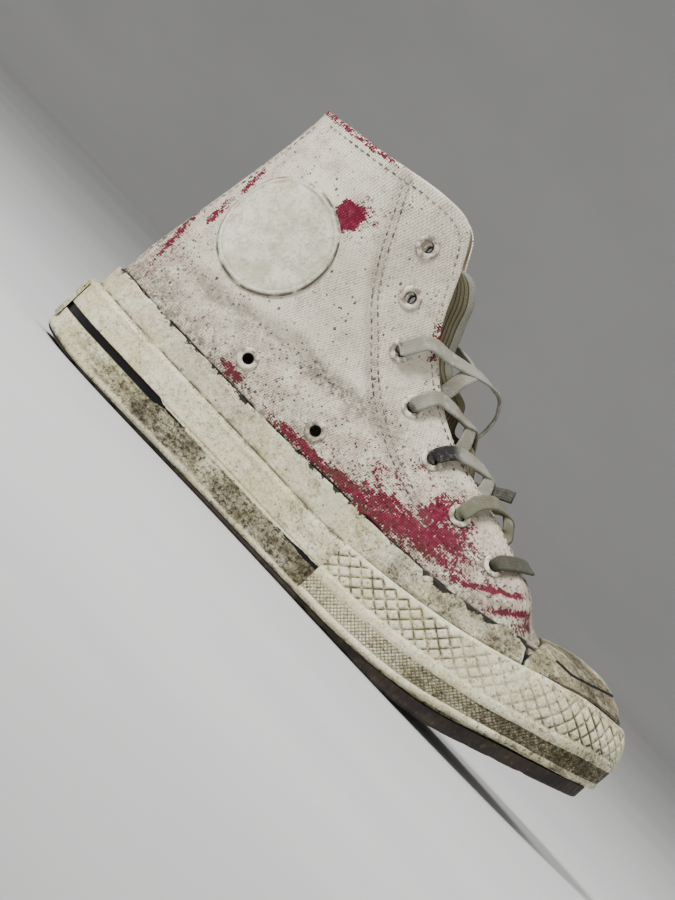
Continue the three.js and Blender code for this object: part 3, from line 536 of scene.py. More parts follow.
def line_distance(x, z, points):
    """Distance from each x, z to a broken line, fading out past its ends."""
    best = np.full(np.shape(x), 1e9)
    for (x0, z0), (x1, z1) in zip(points, points[1:]):
        dx, dz = x1 - x0, z1 - z0
        s = np.clip(((x - x0) * dx + (z - z0) * dz) / (dx * dx + dz * dz), 0, 1)
        best = np.minimum(best, np.hypot(x - x0 - s * dx, z - z0 - s * dz))
    return best


def on_side(side, y):
    return 1.0 if side == 0 else smooth(-4, 4, side * y)


def creases(p):
    """How far the creases push the canvas in at each point."""
    deep = np.zeros(p.shape[:-1])
    for side, reach, depth, points in CREASES:
        d = line_distance(p[..., 0], p[..., 2], points)
        ends = np.min([np.hypot(p[..., 0] - x, p[..., 2] - z) for x, z in (points[0], points[-1])], 0)
        deep += depth * np.exp(-((d / reach) ** 2)) * smooth(0, 12, ends + 3) * on_side(side, p[..., 1])
    return deep * settings().crease_depth


def lumps(p, size, seed):
    """A soft random field, about -1 to 1, with features of a given size."""
    rng = np.random.default_rng(seed)
    total = np.zeros(p.shape[:-1])
    for _ in range(9):
        way = unit(rng.normal(size=3)) * (2 * math.pi / size) * rng.uniform(0.6, 1.3)
        total += np.sin(p @ way + rng.uniform(0, 2 * math.pi))
    return total / 4.5


def cloth(t, v, off=0.0):
    """The creased outside of the canvas, off outwards."""
    p, n = skin(t, v), skin_normal(t, v)
    foot = smooth(0.12, 0.3, v)
    push = -creases(p) * foot + 0.28 * lumps(p, 22, 3) * foot + np.asarray(off, float)
    return p + n * np.broadcast_to(push, p.shape[:-1])[..., None]


def first_for(test, low, high, shape):
    """Bisects for the value from which test holds, for a whole array at once."""
    lo, hi = np.full(shape, float(low)), np.full(shape, float(high))
    for _ in range(26):
        mid = (lo + hi) / 2
        holds = test(mid)
        hi, lo = np.where(holds, mid, hi), np.where(holds, lo, mid)
    return hi


def wall(t, z, off):
    """A point of the rubber wall: height z on rib t, off outwards from the last."""
    t, z = np.broadcast_arrays(np.asarray(t, float), np.asarray(z, float))
    foot = around("foot", t)
    above = z > slab_top(foot[..., 0]) + GAP
    v = np.where(above, first_for(lambda share: last(t, share)[..., 2] > z, 0, 0.6, t.shape), 0)
    p = last(t, v)
    p[..., 2] = z
    return p + outward(t) * np.broadcast_to(np.asarray(off, float), t.shape)[..., None]


def foot_at(x, side):
    """The t on one side at which the feather line has come back to x."""
    def past(k):
        return around("foot", k if side < 0 else 1 - k)[..., 0] < x

    reach = float(first_for(past, 0, 0.5, ()))
    return reach if side < 0 else 1 - reach


def wall_at(x, side):
    """How far round from the toe the foxing's top edge has come back to x, on one side."""
    def past(k):
        t = k if side < 0 else 1 - k
        return wall(t, side_line(FOXING, around("foot", t)[..., 0]), 0)[..., 0] < x

    return float(first_for(past, 0, 0.5, ()))


def locate(x, z, side):
    """The t and v of the skin at x and z on the medial (-1) or the lateral (1) side."""
    k = np.arange(1, 900) / 1800
    t = 1 - k if side > 0 else k
    v = first_for(lambda share: skin(t, share)[..., 2] > z, 0, 1, t.shape)
    best = np.argmin(np.abs(skin(t, v)[..., 0] - x))
    return t[best], v[best]


def walk(t, v, ahead, up):
    """Places reached from t, v by going along the skin, ahead to the toe and up."""
    ahead, up = np.broadcast_arrays(np.asarray(ahead, float), np.asarray(up, float))
    t, v = np.full(ahead.shape, float(t)), np.full(ahead.shape, float(v))
    steps = 8
    for _ in range(steps):
        here = skin(t, v)
        per_t = (skin(t + 0.001, v) - here) / 0.001
        per_v = (skin(t, v + 0.001) - here) / 0.001
        normal = unit(np.cross(per_v, per_t))
        upward = unit(np.array((0, 0, 1.0)) - normal * normal[..., 2:3])
        forward = np.cross(upward, normal)
        forward = forward * np.where(forward[..., 0:1] < 0, -1, 1)
        step = (forward * ahead[..., None] + upward * up[..., None]) / steps
        tt, tv, vv = (per_t**2).sum(-1), (per_t * per_v).sum(-1), (per_v**2).sum(-1)
        st, sv = (step * per_t).sum(-1), (step * per_v).sum(-1)
        det = tt * vv - tv * tv
        t, v = t + (st * vv - sv * tv) / det, v + (sv * tt - st * tv) / det
    return t, v


def patches(p, rows):
    """The strength at each point of a table of worn or soiled patches."""
    total = np.zeros(p.shape[:-1])
    for side, x, z, long, high, tilt, strength in rows:
        a = math.radians(tilt)
        dx, dz = p[..., 0] - x, p[..., 2] - z
        along = (dx * math.cos(a) + dz * math.sin(a)) / long
        over = (dz * math.cos(a) - dx * math.sin(a)) / high
        fall = strength * np.exp(-((along**2 + over**2) ** 1.25) * 0.7)
        total = np.maximum(total, fall * on_side(side, p[..., 1]))
    return total


# ---- Meshes from grids


def placed(name, data):
    """A new object in the scene."""
    item = bpy.data.objects.new(name, data)
    bpy.context.scene.collection.objects.link(item)
    return item


def mark_points(mesh, key, values):
    """Keeps a value for each point of a mesh, for its material to read."""
    layer = mesh.attributes.new(key, "FLOAT", "POINT")
    layer.data.foreach_set("value", np.asarray(values, np.float32).reshape(-1))


def grid_mesh(
    name, points, ring_along=False, ring_across=False, uv=None, attributes=None, material_of=None, keep=None,
    ends=False, hubs=False,
):
    """A mesh from points[along][across] in millimetres. uv is in metres; attributes are per point;
    material_of gives a material index per face, keep drops faces, ends closes the open ends of a
    band and hubs the first and last rings of a disc."""
    n, m = points.shape[:2]
    rows = n if ring_along else n - 1
    cols = m if ring_across else m - 1
    i, j = np.meshgrid(np.arange(rows), np.arange(cols), indexing="ij")
    i2, j2 = (i + 1) % n, (j + 1) % m
    quads = np.stack([i * m + j, i * m + j2, i2 * m + j2, i2 * m + j], -1).reshape(-1, 4)
    chosen = np.ones(len(quads), bool) if keep is None else keep(points).reshape(-1)
    quads = quads[chosen]
    corners = quads.reshape(-1).tolist()
    totals = [4] * len(quads)
    if ends and not ring_along:
        corners += list(range(m))[::-1] + list(range((n - 1) * m, n * m))
        totals += [m, m]
    if hubs:
        corners += list(range(0, n * m, m)) + list(range(m - 1, n * m, m))[::-1]
        totals += [n, n]
    mesh = bpy.data.meshes.new(name)
    mesh.vertices.add(n * m)
    mesh.vertices.foreach_set("co", (points.reshape(-1) * MM).astype(np.float32))
    mesh.loops.add(len(corners))
    mesh.loops.foreach_set("vertex_index", np.array(corners, np.int32))
    starts = np.concatenate([[0], np.cumsum(totals)[:-1]]).astype(np.int32)
    mesh.polygons.add(len(totals))
    mesh.polygons.foreach_set("loop_start", starts)
    mesh.polygons.foreach_set("use_smooth", np.ones(len(totals), bool))
    if material_of is not None:
        index = np.broadcast_to(material_of, (rows, cols)).reshape(-1)[chosen].astype(np.int32)
        index = np.concatenate([index, np.full(len(totals) - len(index), index[0], np.int32)])
        mesh.polygons.foreach_set("material_index", index)
    mesh.update(calc_edges=True)
    if uv is not None:
        layer = mesh.uv_layers.new(name="cloth")
        u, w = uv
        iu, ju = (np.repeat(a.reshape(-1)[chosen], 4).reshape(-1, 4) for a in (i, j))
        iu = iu + np.array([0, 0, 1, 1])
        ju = ju + np.array([0, 1, 1, 0])
        flat = np.stack([u[iu, ju], w[iu, ju]], -1).reshape(-1)
        flat = np.concatenate([flat, np.zeros(2 * len(corners) - len(flat))])
        layer.data.foreach_set("uv", flat.astype(np.float32))
    for key, values in (attributes or {}).items():
        mark_points(mesh, key, np.broadcast_to(values, (n, m)))
    if mesh.validate(verbose=False):
        raise RuntimeError(f"{name} has faulty faces")
    return placed(name, mesh)


def travel(points, ring_along, ring_across):
    """Lengths in metres along and across a grid, with one more row and column where it closes."""
    if ring_along:
        points = np.concatenate([points, points[:1]], 0)
    if ring_across:
        points = np.concatenate([points, points[:, :1]], 1)
    count = points.shape[1]
    along = run_length(points[:, count // 3])
    over = np.array([run_length(row) for row in points])
    return np.repeat(along[:, None], count, 1) * MM, over * MM


def dress(piece, materials, slot, *nodes, edge_angle=None):
    """Gives a piece its materials, hangs it on the shoe and lets it stand for its solids."""
    for material in materials:
        piece.data.materials.append(material)
    if edge_angle:
        piece.data.set_sharp_from_angle(angle=math.radians(edge_angle))
    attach(piece, "root")
    if nodes:
        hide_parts(*nodes)
    return piece


def joined(name, parts):
    """One piece from several meshes' vertex and face lists."""
    vertices, faces, base = [], [], 0
    for points, polygons in parts:
        vertices.append(points)
        faces += [[base + k for k in face] for face in polygons]
        base += len(points)
    mesh = bpy.data.meshes.new(name)
    mesh.from_pydata((np.concatenate(vertices) * MM).tolist(), [], faces)
    mesh.polygons.foreach_set("use_smooth", np.ones(len(mesh.polygons), bool))
    mesh.update()
    return placed(name, mesh)


# ---- Finishes


class Finish:
    """One material, put together socket by socket."""

    def __init__(self, name):
        self.material = bpy.data.materials.new(name)
        self.material.use_nodes = True
        self.tree = self.material.node_tree
        self.tree.nodes.clear()
        self.surface = self.node("ShaderNodeBsdfPrincipled")
        out = self.node("ShaderNodeOutputMaterial")
        self.tree.links.new(self.surface.outputs[0], out.inputs[0])
        self.place = self.node("ShaderNodeTexCoord").outputs["Object"]

    def node(self, kind, **facts):
        made = self.tree.nodes.new(kind)
        for key, value in facts.items():
            setattr(made, key, value)
        return made

    def put(self, socket, value):
        if isinstance(value, bpy.types.NodeSocket):
            self.tree.links.new(value, socket)
        elif socket.type == "RGBA" and len(value) == 3:
            socket.default_value = (*value, 1.0)
        else:
            socket.default_value = value

    def set(self, **sockets):
        for key, value in sockets.items():
            self.put(self.surface.inputs[key.replace("_", " ")], value)

    def calc(self, operation, a, b=None):
        made = self.node("ShaderNodeMath", operation=operation)
        self.put(made.inputs[0], a)
        if b is not None:
            self.put(made.inputs[1], b)
        return made.outputs[0]

    def times(self, a, b):
        return self.calc("MULTIPLY", a, b)

    def plus(self, a, b):
        return self.calc("ADD", a, b)

    def minus(self, a, b):
        return self.calc("SUBTRACT", a, b)

    def mix(self, share, a, b):
        made = self.node("ShaderNodeMix", data_type="RGBA")
        self.put(made.inputs["Factor"], share)
        self.put(made.inputs[6], a)
        self.put(made.inputs[7], b)
        return made.outputs[2]

    def rise(self, value, low, high, to_low=0.0, to_high=1.0):
        made = self.node("ShaderNodeMapRange", interpolation_type="SMOOTHSTEP")
        for k, x in enumerate((value, low, high, to_low, to_high)):
            self.put(made.inputs[k], x)
        return made.outputs[0]

    def stretched(self, x=1.0, y=1.0, z=1.0):
        made = self.node("ShaderNodeMapping")
        self.put(made.inputs[0], self.place)
        made.inputs[3].default_value = (x, y, z)
        return made.outputs[0]

    def noise(self, size, detail=3.0, rough=0.55, place=None, warp=0.0):
        made = self.node("ShaderNodeTexNoise")
        self.put(made.inputs["Vector"], place or self.place)
        made.inputs["Scale"].default_value = 1 / (size * MM)
        made.inputs["Detail"].default_value = detail
        made.inputs["Roughness"].default_value = rough
        made.inputs["Distortion"].default_value = warp
        return made.outputs["Fac"]

    def cells(self, size, place=None):
        made = self.node("ShaderNodeTexVoronoi")
        self.put(made.inputs["Vector"], place or self.place)
        made.inputs["Scale"].default_value = 1 / (size * MM)
        return made.outputs["Distance"]

    def blot(self, size, detail, rough, low, high, to_high=1.0):
        """Irregular spots of a noise, 0 below low and to_high from high on."""
        return self.rise(self.noise(size, detail, rough), low, high, 0, to_high)

    def mark(self, name):
        return self.node("ShaderNodeAttribute", attribute_name=name).outputs["Fac"]

    def sheet_place(self):
        split = self.node("ShaderNodeSeparateXYZ")
        self.put(split.inputs[0], self.node("ShaderNodeUVMap", uv_map="cloth").outputs[0])
        return split.outputs[0], split.outputs[1]

    def threads(self, value, pitch):
        """Height across parallel threads, 0 between them and 1 on top."""
        wave = self.calc("SINE", self.times(value, math.pi / pitch))
        return self.calc("ABSOLUTE", wave)

    def weave(self, pitch):
        """Height of a plain weave, 0 in the pinholes and 1 on top of a thread."""
        u, w = self.sheet_place()
        over_u, over_w = self.threads(u, pitch), self.threads(w, pitch)
        cross = self.times(*(self.calc("SINE", self.times(a, math.pi / pitch)) for a in (u, w)))
        picked = self.node("ShaderNodeMix", data_type="FLOAT")
        self.put(picked.inputs[0], self.rise(cross, -0.25, 0.25))
        self.put(picked.inputs[2], over_u)
        self.put(picked.inputs[3], over_w)
        return picked.outputs[0]

    def bump(self, *layers):
        """Bumps in order, each a height and its depth in millimetres."""
        normal = None
        for height, depth in layers:
            made = self.node("ShaderNodeBump")
            made.inputs["Strength"].default_value = 1.0
            made.inputs["Distance"].default_value = depth * MM
            self.put(made.inputs["Height"], height)
            if normal is not None:
                self.put(made.inputs["Normal"], normal)
            normal = made.outputs[0]
        self.put(self.surface.inputs["Normal"], normal)

    def done(self, tone, roughness, *bumps, **sockets):
        """The material with its colour, roughness and bumps."""
        self.set(Base_Color=tone, Roughness=roughness, **sockets)
        self.bump(*bumps)
        return self.material


def canvas_finish():
    """Red canvas under thick white paint that has worn, cracked and soiled."""
    s, f = settings(), Finish("worn_painted_canvas")
    weave = f.weave(s.weave_pitch)
    broad, middle, fine = f.noise(34, 2), f.noise(7, 5, 0.68), f.noise(1.3, 4, 0.72)
    low, busy = f.mark("above_tape"), f.mark("busy")
    tone = f.mix(f.rise(broad, 0.35, 0.7), s.canvas_paint, paint(228, 221, 198))
    blush = f.times(busy, f.rise(middle, 0.34, 0.62))
    tone = f.mix(f.times(blush, 0.6), tone, paint(200, 164, 150))
    tone = f.mix(f.rise(middle, 0.5, 0.72, 0, 0.5), tone, paint(194, 182, 158))
    # Darker between the threads: painted shade in the hollows of the weave
    tone = f.mix(f.rise(weave, 0.62, 0.1, 0, 0.3), tone, paint(120, 102, 92))
    pinholes = f.times(f.rise(weave, 0.4, 0.1), f.rise(f.plus(middle, f.times(busy, 0.1)), 0.5, 0.62))
    tone = f.mix(f.times(pinholes, 0.75), tone, paint(72, 48, 46))
    grains = f.rise(f.plus(fine, f.times(busy, 0.1)), 0.6, 0.72)
    tone = f.mix(f.times(grains, 0.7), tone, paint(92, 64, 58))
    flecks = f.noise(4.2, 6, 0.8, place=f.stretched(0.55, 1, 1.3))
    gone = f.plus(f.mark("red"), f.times(f.minus(flecks, 0.5), 2.5))
    gone = f.plus(gone, f.times(f.minus(fine, 0.5), 2.5))
    gone = f.plus(gone, f.times(f.minus(0.6, weave), 0.25))
    bare = f.rise(gone, 0.6, 0.72)
    red = f.mix(f.blot(2.1, 4, 0.7, 0.44, 0.7), s.canvas_red, paint(148, 62, 82))
    # The bare red canvas darker between its threads: painted shade in the weave's hollows
    red = f.mix(f.rise(weave, 0.5, 0.1), red, paint(60, 12, 24))
    tone = f.mix(bare, tone, red)
    specks = f.rise(f.cells(1.9), 0.3, 0.18)
    crowd = f.rise(f.plus(f.noise(8, 5, 0.7), f.times(busy, 0.13)), 0.53, 0.64)
    tone = f.mix(f.times(f.times(specks, crowd), 0.88), tone, paint(36, 24, 24))
    spots = f.times(f.rise(f.cells(5.3, place=f.stretched(1.2, 1, 0.9)), 0.16, 0.1), f.blot(15, 3, 0.55, 0.47, 0.55))
    tone = f.mix(f.times(spots, 0.85), tone, paint(62, 30, 32))
    # Grey smudges: dirt, and painted shade where they lie along the creases
    smudge_and_crease_shade = f.times(f.mark("smudge_and_crease_shade"), f.blot(2.6, 5, 0.74, 0.32, 0.6))
    tone = f.mix(smudge_and_crease_shade, tone, paint(80, 70, 64))
    soil = f.times(f.rise(low, 18, 1, 0, 0.8), f.blot(3, 5, 0.74, 0.42, 0.62))
    tone = f.mix(f.times(soil, 0.85), tone, s.soil)
    edge = f.times(f.rise(low, 1.5, 0.2), f.blot(9, 3, 0.55, 0.36, 0.5))
    tone = f.mix(edge, tone, paint(12, 10, 10))
    tone = f.mix(f.times(f.mark("seam"), 0.3), tone, paint(108, 94, 84))
    return f.done(
        tone, f.rise(bare, 0, 1, 0.6, 0.92), (weave, 0.26), (middle, 0.5), (f.times(bare, -1.0), 0.15), (fine, 0.25),
        Specular_IOR_Level=0.2,
    )


def lining_finish():
    s, f = settings(), Finish("stained_and_shaded_lining")
    weave = f.weave(s.weave_pitch)
    # Olive-tan stains, with the whole lining kept dark as painted shade for the inside of the shoe
    tone = f.mix(f.blot(18, 4, 0.55, 0.35, 0.7), paint(138, 129, 106), paint(96, 88, 69))
    # Darker between the threads: painted shade in the weave's hollows
    tone = f.mix(f.rise(weave, 0.5, 0.1, 0, 0.6), tone, paint(84, 76, 60))
    return f.done(tone, 0.95, (weave, 0.2), (f.noise(2, 3), 0.15), Specular_IOR_Level=0.2)


def cream_finish(name, base):
    """Cream rubber, yellowed and soiled in fine grains, with scuffs and specks."""
    s, f = settings(), Finish(name)
    mottle, grain = f.noise(1.7, 5, 0.78), f.noise(0.7, 3, 0.7)
    tone = f.mix(f.blot(26, 3, 0.55, 0.35, 0.7), base, paint(214, 205, 162))
    tone = f.mix(f.blot(5, 5, 0.68, 0.48, 0.7, 0.7), tone, paint(246, 243, 222))
    tone = f.mix(f.rise(mottle, 0.48, 0.68, 0, 0.6), tone, paint(128, 118, 90))
    tone = f.mix(f.rise(grain, 0.5, 0.68, 0, 0.4), tone, paint(98, 88, 68))
    streaks = f.noise(3.4, 6, 0.74, place=f.stretched(0.35, 0.35, 1.0), warp=0.6)
    amount = f.plus(f.mark("dirt"), f.times(f.minus(f.noise(14, 3), 0.5), 1.0))
    spread = f.plus(f.times(streaks, 0.5), f.times(f.plus(mottle, grain), 0.25))
    grime = f.rise(f.plus(spread, f.times(amount, 0.32)), 0.55, 0.88)
    tone = f.mix(f.times(grime, 0.92), tone, s.soil)
    deep = f.rise(f.plus(mottle, f.times(amount, 0.2)), 0.66, 0.82)
    tone = f.mix(f.times(deep, 0.85), tone, paint(32, 26, 18))
    specks = f.times(f.rise(f.cells(2.6), 0.2, 0.1), f.blot(11, 3, 0.55, 0.47, 0.6))
    tone = f.mix(f.times(specks, 0.8), tone, paint(36, 30, 22))
    f.set(Specular_IOR_Level=0.25)
    return f, tone, grime, streaks


def sidewall_finish():
    f, tone, grime, streaks = cream_finish("cream_sidewall", settings().rubber_cream)
    rise = f.mark("rise")
    wander = f.times(f.minus(f.noise(7, 5, 0.7, place=f.stretched(0.7, 0.7, 1)), 0.5), 3.0)
    half = f.plus(f.mark("stripe"), wander)
    away = f.calc("ABSOLUTE", f.plus(rise, f.times(wander, 0.2)))
    black = f.times(f.rise(f.minus(half, away), 0.0, 0.25), f.rise(away, 1.9, 1.6))
    tone = f.mix(black, tone, paint(2, 2, 3))
    return f.done(
        tone, f.rise(grime, 0, 1, 0.42, 0.75), (streaks, 0.2), (f.noise(1.1, 3), 0.1), (f.times(black, -1.0), 0.12),
    )


def bumper_finish():
    f, tone, grime, streaks = cream_finish("diamond_bumper", settings().rubber_cream)
    u, w = f.sheet_place()
    groove = f.mark("groove")
    caught = f.times(groove, f.rise(f.noise(6, 5, 0.74), 0.42, 0.58, 0.05, 1.0))
    tone = f.mix(f.times(caught, f.rise(f.mark("fresh"), 0, 1, 0.95, 0.25)), tone, paint(60, 52, 34))
    knurl = f.times(f.threads(f.plus(u, w), KNURL_PITCH), f.threads(f.minus(u, w), KNURL_PITCH))
    low = f.mark("knurl")
    pits = f.times(f.times(f.rise(knurl, 0.4, 0.1), low), f.blot(7, 4, 0.55, 0.25, 0.5))
    tone = f.mix(f.times(pits, 0.75), tone, paint(84, 74, 50))
    return f.done(
        tone, f.rise(grime, 0, 1, 0.45, 0.78), (f.times(knurl, low), 0.45), (streaks, 0.15), (f.noise(1.0, 3), 0.1),
    )


def tape_finish():
    f, tone, _, streaks = cream_finish("soiled_tape", paint(206, 199, 172))
    drop = f.mark("below_top")
    torn = f.minus(f.rise(f.noise(7, 5, 0.74), 0.46, 0.66, -0.3, 1.7), drop)
    torn = f.plus(torn, f.times(f.mark("notch"), 2.6))
    black = f.rise(torn, 0.0, 0.4)
    tone = f.mix(f.times(black, 0.96), tone, paint(3, 3, 3))
    # Darker along the foot of the tape, in the corner above the ledge: painted shade with some dirt
    low = f.times(f.mark("at_wall"), f.blot(7, 4, 0.55, 0.34, 0.52))
    tone = f.mix(f.times(low, 0.85), tone, paint(40, 33, 24))
    return f.done(tone, 0.68, (streaks, 0.25), (f.noise(1.4, 3), 0.16))


def cap_finish():
    f, tone, _, streaks = cream_finish("soiled_cap", settings().cap_paint)
    brushed = f.noise(5, 6, 0.78, place=f.stretched(0.3, 1, 1.2))
    tone = f.mix(f.rise(brushed, 0.46, 0.66, 0, 0.75), tone, paint(66, 60, 44))
    rubbed = f.times(f.rise(f.noise(6, 6, 0.78, place=f.stretched(0.5, 1, 1)), 0.55, 0.68), 0.5)
    tone = f.mix(rubbed, tone, paint(196, 190, 164))
    # Darker along the cap's edges: painted shadow where the canvas and the bumper meet it
    tone = f.mix(f.times(f.mark("seam"), 0.8), tone, paint(34, 28, 20))
    crack = f.minus(f.mark("crack"), f.times(f.noise(4, 4), 0.5))
    tone = f.mix(f.rise(crack, 0.26, 0.44), tone, paint(3, 3, 3))
    return f.done(tone, 0.6, (streaks, 0.35), (f.times(f.mark("crack"), -1.0), 0.4), (f.noise(1.6, 4, 0.7), 0.25))


def outsole_finish():
    s, f = settings(), Finish("brown_tread")
    tone = f.mix(f.blot(14, 4, 0.55, 0.35, 0.7), s.outsole_brown, paint(62, 52, 42))
    tone = f.mix(f.blot(2.4, 5, 0.7, 0.52, 0.74, 0.55), tone, paint(104, 94, 76))
    ribs = f.threads(f.sheet_place()[0], TREAD_RIB_PITCH)
    # Darker between the ribs: painted shade in the grooves of the tread
    return f.done(
        f.mix(f.rise(ribs, 0.3, 0.05, 0, 0.35), tone, paint(20, 16, 14)), 0.72, (ribs, 0.25), (f.noise(1.4, 3), 0.12),
    )


def patch_finish():
    f = Finish("painted_patch")
    tone = f.mix(f.blot(9, 5, 0.62, 0.36, 0.66), paint(228, 223, 202), paint(196, 190, 164))
    cloudy = f.noise(4.2, 6, 0.7, warp=1.2)
    tone = f.mix(f.rise(cloudy, 0.48, 0.64, 0, 0.6), tone, paint(166, 160, 134))
    tone = f.mix(f.blot(1.2, 4, 0.75, 0.52, 0.68, 0.5), tone, paint(132, 124, 102))
    # Painted shadow round the rim and in the sewn groove
    rim_shadow = f.times(f.mark("rim"), f.blot(5, 4, 0.55, 0.32, 0.56))
    tone = f.mix(f.times(rim_shadow, 0.9), tone, paint(56, 44, 36))
    specks = f.rise(f.cells(3.4), 0.12, 0.06)
    tone = f.mix(f.times(specks, 0.6), tone, paint(96, 72, 70))
    return f.done(tone, 0.55, (cloudy, 0.35), (f.noise(1.2, 3), 0.12))


def eyelet_finish():
    f = Finish("painted_eyelet")
    tone = f.mix(f.blot(3.2, 4, 0.65, 0.42, 0.62), paint(218, 210, 192), paint(128, 116, 100))
    # The bore painted near black: painted shade down the hole
    tone = f.mix(f.mark("bore_shade"), tone, paint(24, 20, 18))
    return f.done(tone, 0.6, (f.noise(1.1, 3), 0.1))


def lace_finish():
    """Flat woven lace: a herringbone of fine threads, greyed and stiff with paint."""
    s, f = settings(), Finish("stiff_grey_lace")
    u, w = f.sheet_place()
    fold = f.calc("ABSOLUTE", w)
    strand = f.threads(f.plus(u, f.times(fold, 0.9)), LACE_WEAVE_PITCH)
    cross = f.threads(w, LACE_CROSS_PITCH)
    height = f.times(f.plus(strand, cross), 0.5)
    tone = f.mix(f.blot(9, 4, 0.55, 0.35, 0.68), s.lace_grey, paint(132, 128, 112))
    # Darker where the herringbone is low: painted shade between the threads
    tone = f.mix(f.rise(height, 0.5, 0.15, 0, 0.55), tone, paint(96, 92, 82))
    tone = f.mix(f.blot(3, 4, 0.65, 0.52, 0.7, 0.6), tone, paint(186, 184, 174))
    # Olive stain; on the lateral strand of row 4 it is painted shade as well
    olive = f.times(f.mark("olive"), f.rise(f.noise(6, 3), 0.2, 0.5, 0.4, 1.0))
    tone = f.mix(f.times(olive, 0.85), tone, paint(96, 94, 74))
    grimy = f.times(f.mark("grime"), f.rise(f.noise(2.5, 5, 0.7), 0.3, 0.5, 0.45, 1.0))
    tone = f.mix(grimy, tone, paint(36, 35, 36))
    return f.done(tone, 0.85, (height, 0.14), (f.noise(1.6, 3), 0.08), Specular_IOR_Level=0.25)


def tongue_finish():
    s, f = settings(), Finish("stained_tongue")
    weave = f.weave(s.weave_pitch)
    tone = f.mix(f.blot(8, 4, 0.55, 0.35, 0.7), s.tongue_tan, paint(112, 104, 80))
    band = f.mark("bound")
    tone = f.mix(f.rise(band, 0.3, 0.7), tone, paint(132, 131, 118))
    rows = f.mark("rows")
    tone = f.mix(f.times(f.rise(rows, 0.4, 0.9), 0.8), tone, paint(44, 40, 28))
    # The sides under the flaps and the underside painted dark: painted shade under the flaps
    tone = f.mix(f.times(f.mark("shaded_under_flaps"), 0.85), tone, paint(34, 30, 22))
    # Darker between the threads: painted shade in the weave's hollows
    tone = f.mix(f.rise(weave, 0.45, 0.1, 0, 0.45), tone, paint(70, 64, 50))
    return f.done(tone, 0.9, (weave, 0.16), (f.times(rows, -1.0), 0.25), (f.noise(3, 3), 0.2), Specular_IOR_Level=0.25)


def insole_finish():
    f = Finish("flattened_insole")
    tone = f.mix(f.blot(22, 4, 0.55, 0.35, 0.7), paint(150, 139, 112), paint(96, 86, 68))
    tone = f.mix(f.blot(1.2, 3, 0.7, 0.45, 0.65, 0.5), tone, paint(70, 62, 50))
    return f.done(tone, 0.95, (f.noise(0.9, 3), 0.15), (f.noise(14, 2), 0.4))


def thread_finish():
    f = Finish("painted_thread")
    tone = f.mix(f.blot(5, 4, 0.55, 0.42, 0.62), paint(168, 158, 146), paint(86, 74, 70))
    return f.done(tone, 0.85, (f.noise(0.6, 2), 0.05))


# ---- Pieces


def upper_columns():
    return np.arange(settings().columns) / settings().columns


def columns_marked(points, first, last_column):
    """1 on the columns of a grid from first up to last_column, 0 elsewhere."""
    marked = np.zeros(points.shape[:2])
    marked[:, first:last_column] = 1
    return marked


def levels(low, high, off, shares):
    """Rows of a section, each a height and an offset, at shares of the way from low to high."""
    return [(low + (high - low) * h, off) for h in shares]


def section(t, rows):
    """A band of rubber: its section's rows of heights and offsets, on every rib t."""
    return np.stack([wall(t, z, off) for z, off in rows], 1)


def turn(sides):
    return 2 * math.pi * np.arange(sides) / sides


def tube_faces(rings, sides, closed=False):
    """Faces of a tube whose rings of points are laid one after the other."""
    faces = []
    for k in range(rings if closed else rings - 1):
        here, there = k * sides, (k + 1) % rings * sides
        faces += [[here + j, here + (j + 1) % sides, there + (j + 1) % sides, there + j] for j in range(sides)]
    return faces


def build_upper():
    """The canvas wall: outside, rolled edges and lining, with its holes open."""
    t = upper_columns()
    one = np.ones_like(t)
    outer_v = np.linspace(0, 1, 96)
    outer_count = len(outer_v)
    tt, vv = np.meshgrid(t, outer_v, indexing="ij")
    strip = smooth(STRIP_REACH + 0.0012, STRIP_REACH - 0.0004, np.abs(tt - 0.5))
    strip = strip * smooth(STRIP_FOOT, STRIP_FOOT + 0.02, vv)
    rolled = 0.25 * smooth(0.955, 0.985, vv)
    outer = cloth(tt, vv, HEEL_STRIP * strip + rolled)
    inner = cloth(*np.meshgrid(t, np.linspace(1, 0, 44), indexing="ij"), -CANVAS)
    edge, normal = cloth(t, one), skin_normal(t, one)
    rise = unit(skin(t, one) - skin(t, np.full_like(t, 0.97)))
    lip = [edge + normal * off + rise * up for off, up in ((-0.1, 0.45), (-0.9, 0.75), (-1.7, 0.45))]
    points = np.concatenate([outer, np.stack(lip, 1), inner], 1)
    x, z = points[..., 0], points[..., 2]
    throat = columns_marked(points, outer_count - 2, outer_count + 3)
    red = np.maximum(patches(points, RED_WEAR), 0.8 * throat * smooth(-78, -92, x))
    red = np.maximum(red, 0.45 * throat * smooth(-45, -25, x))
    heel_edge = np.exp(-(((np.abs(tt - 0.5) - 0.006) / 0.005) ** 2))
    red[:, :outer_count] = np.maximum(red[:, :outer_count], 0.62 * heel_edge)
    seam = np.exp(-((line_distance(x, z, FRONT_STITCH) - 1.2) ** 2) / 3.0)
    busy = 0.18 + 0.55 * smooth(-50, 20, x) * smooth(92, 66, z) + 0.48 * smooth(78, 50, z)
    busy = busy + 0.45 * smooth(-108, -128, x)
    holes = [
        skin(np.array(t0), np.array(v0))
        for _, _, places, side, _ in EYELET_GROUPS
        for t0, v0 in eyelet_places(places, side)
    ]

    def keep(p):
        centre = (p + np.roll(p, -1, 0) + np.roll(p, -1, 1) + np.roll(np.roll(p, -1, 0), -1, 1)) / 4
        return np.all([np.linalg.norm(centre - hole, axis=-1) > HOLE_RADIUS for hole in holes], 0)

    marks = {
        "red": red, "smudge_and_crease_shade": patches(points, SMUDGES_AND_CREASE_SHADE), "above_tape": z - side_line(TAPE_TOP, x),
        "seam": seam, "busy": np.clip(busy, 0, 1),
    }
    lined = (np.arange(points.shape[1]) >= outer_count + 2).astype(int)
    piece = grid_mesh("canvas_upper", points, True, True, travel(points, True, True), marks, lined[None, :], keep)
    dress(piece, [canvas_finish(), lining_finish()], "canvas", "upper")


def eyelet_places(holes, side):
    return [locate(x, z, side) for x, z in holes]


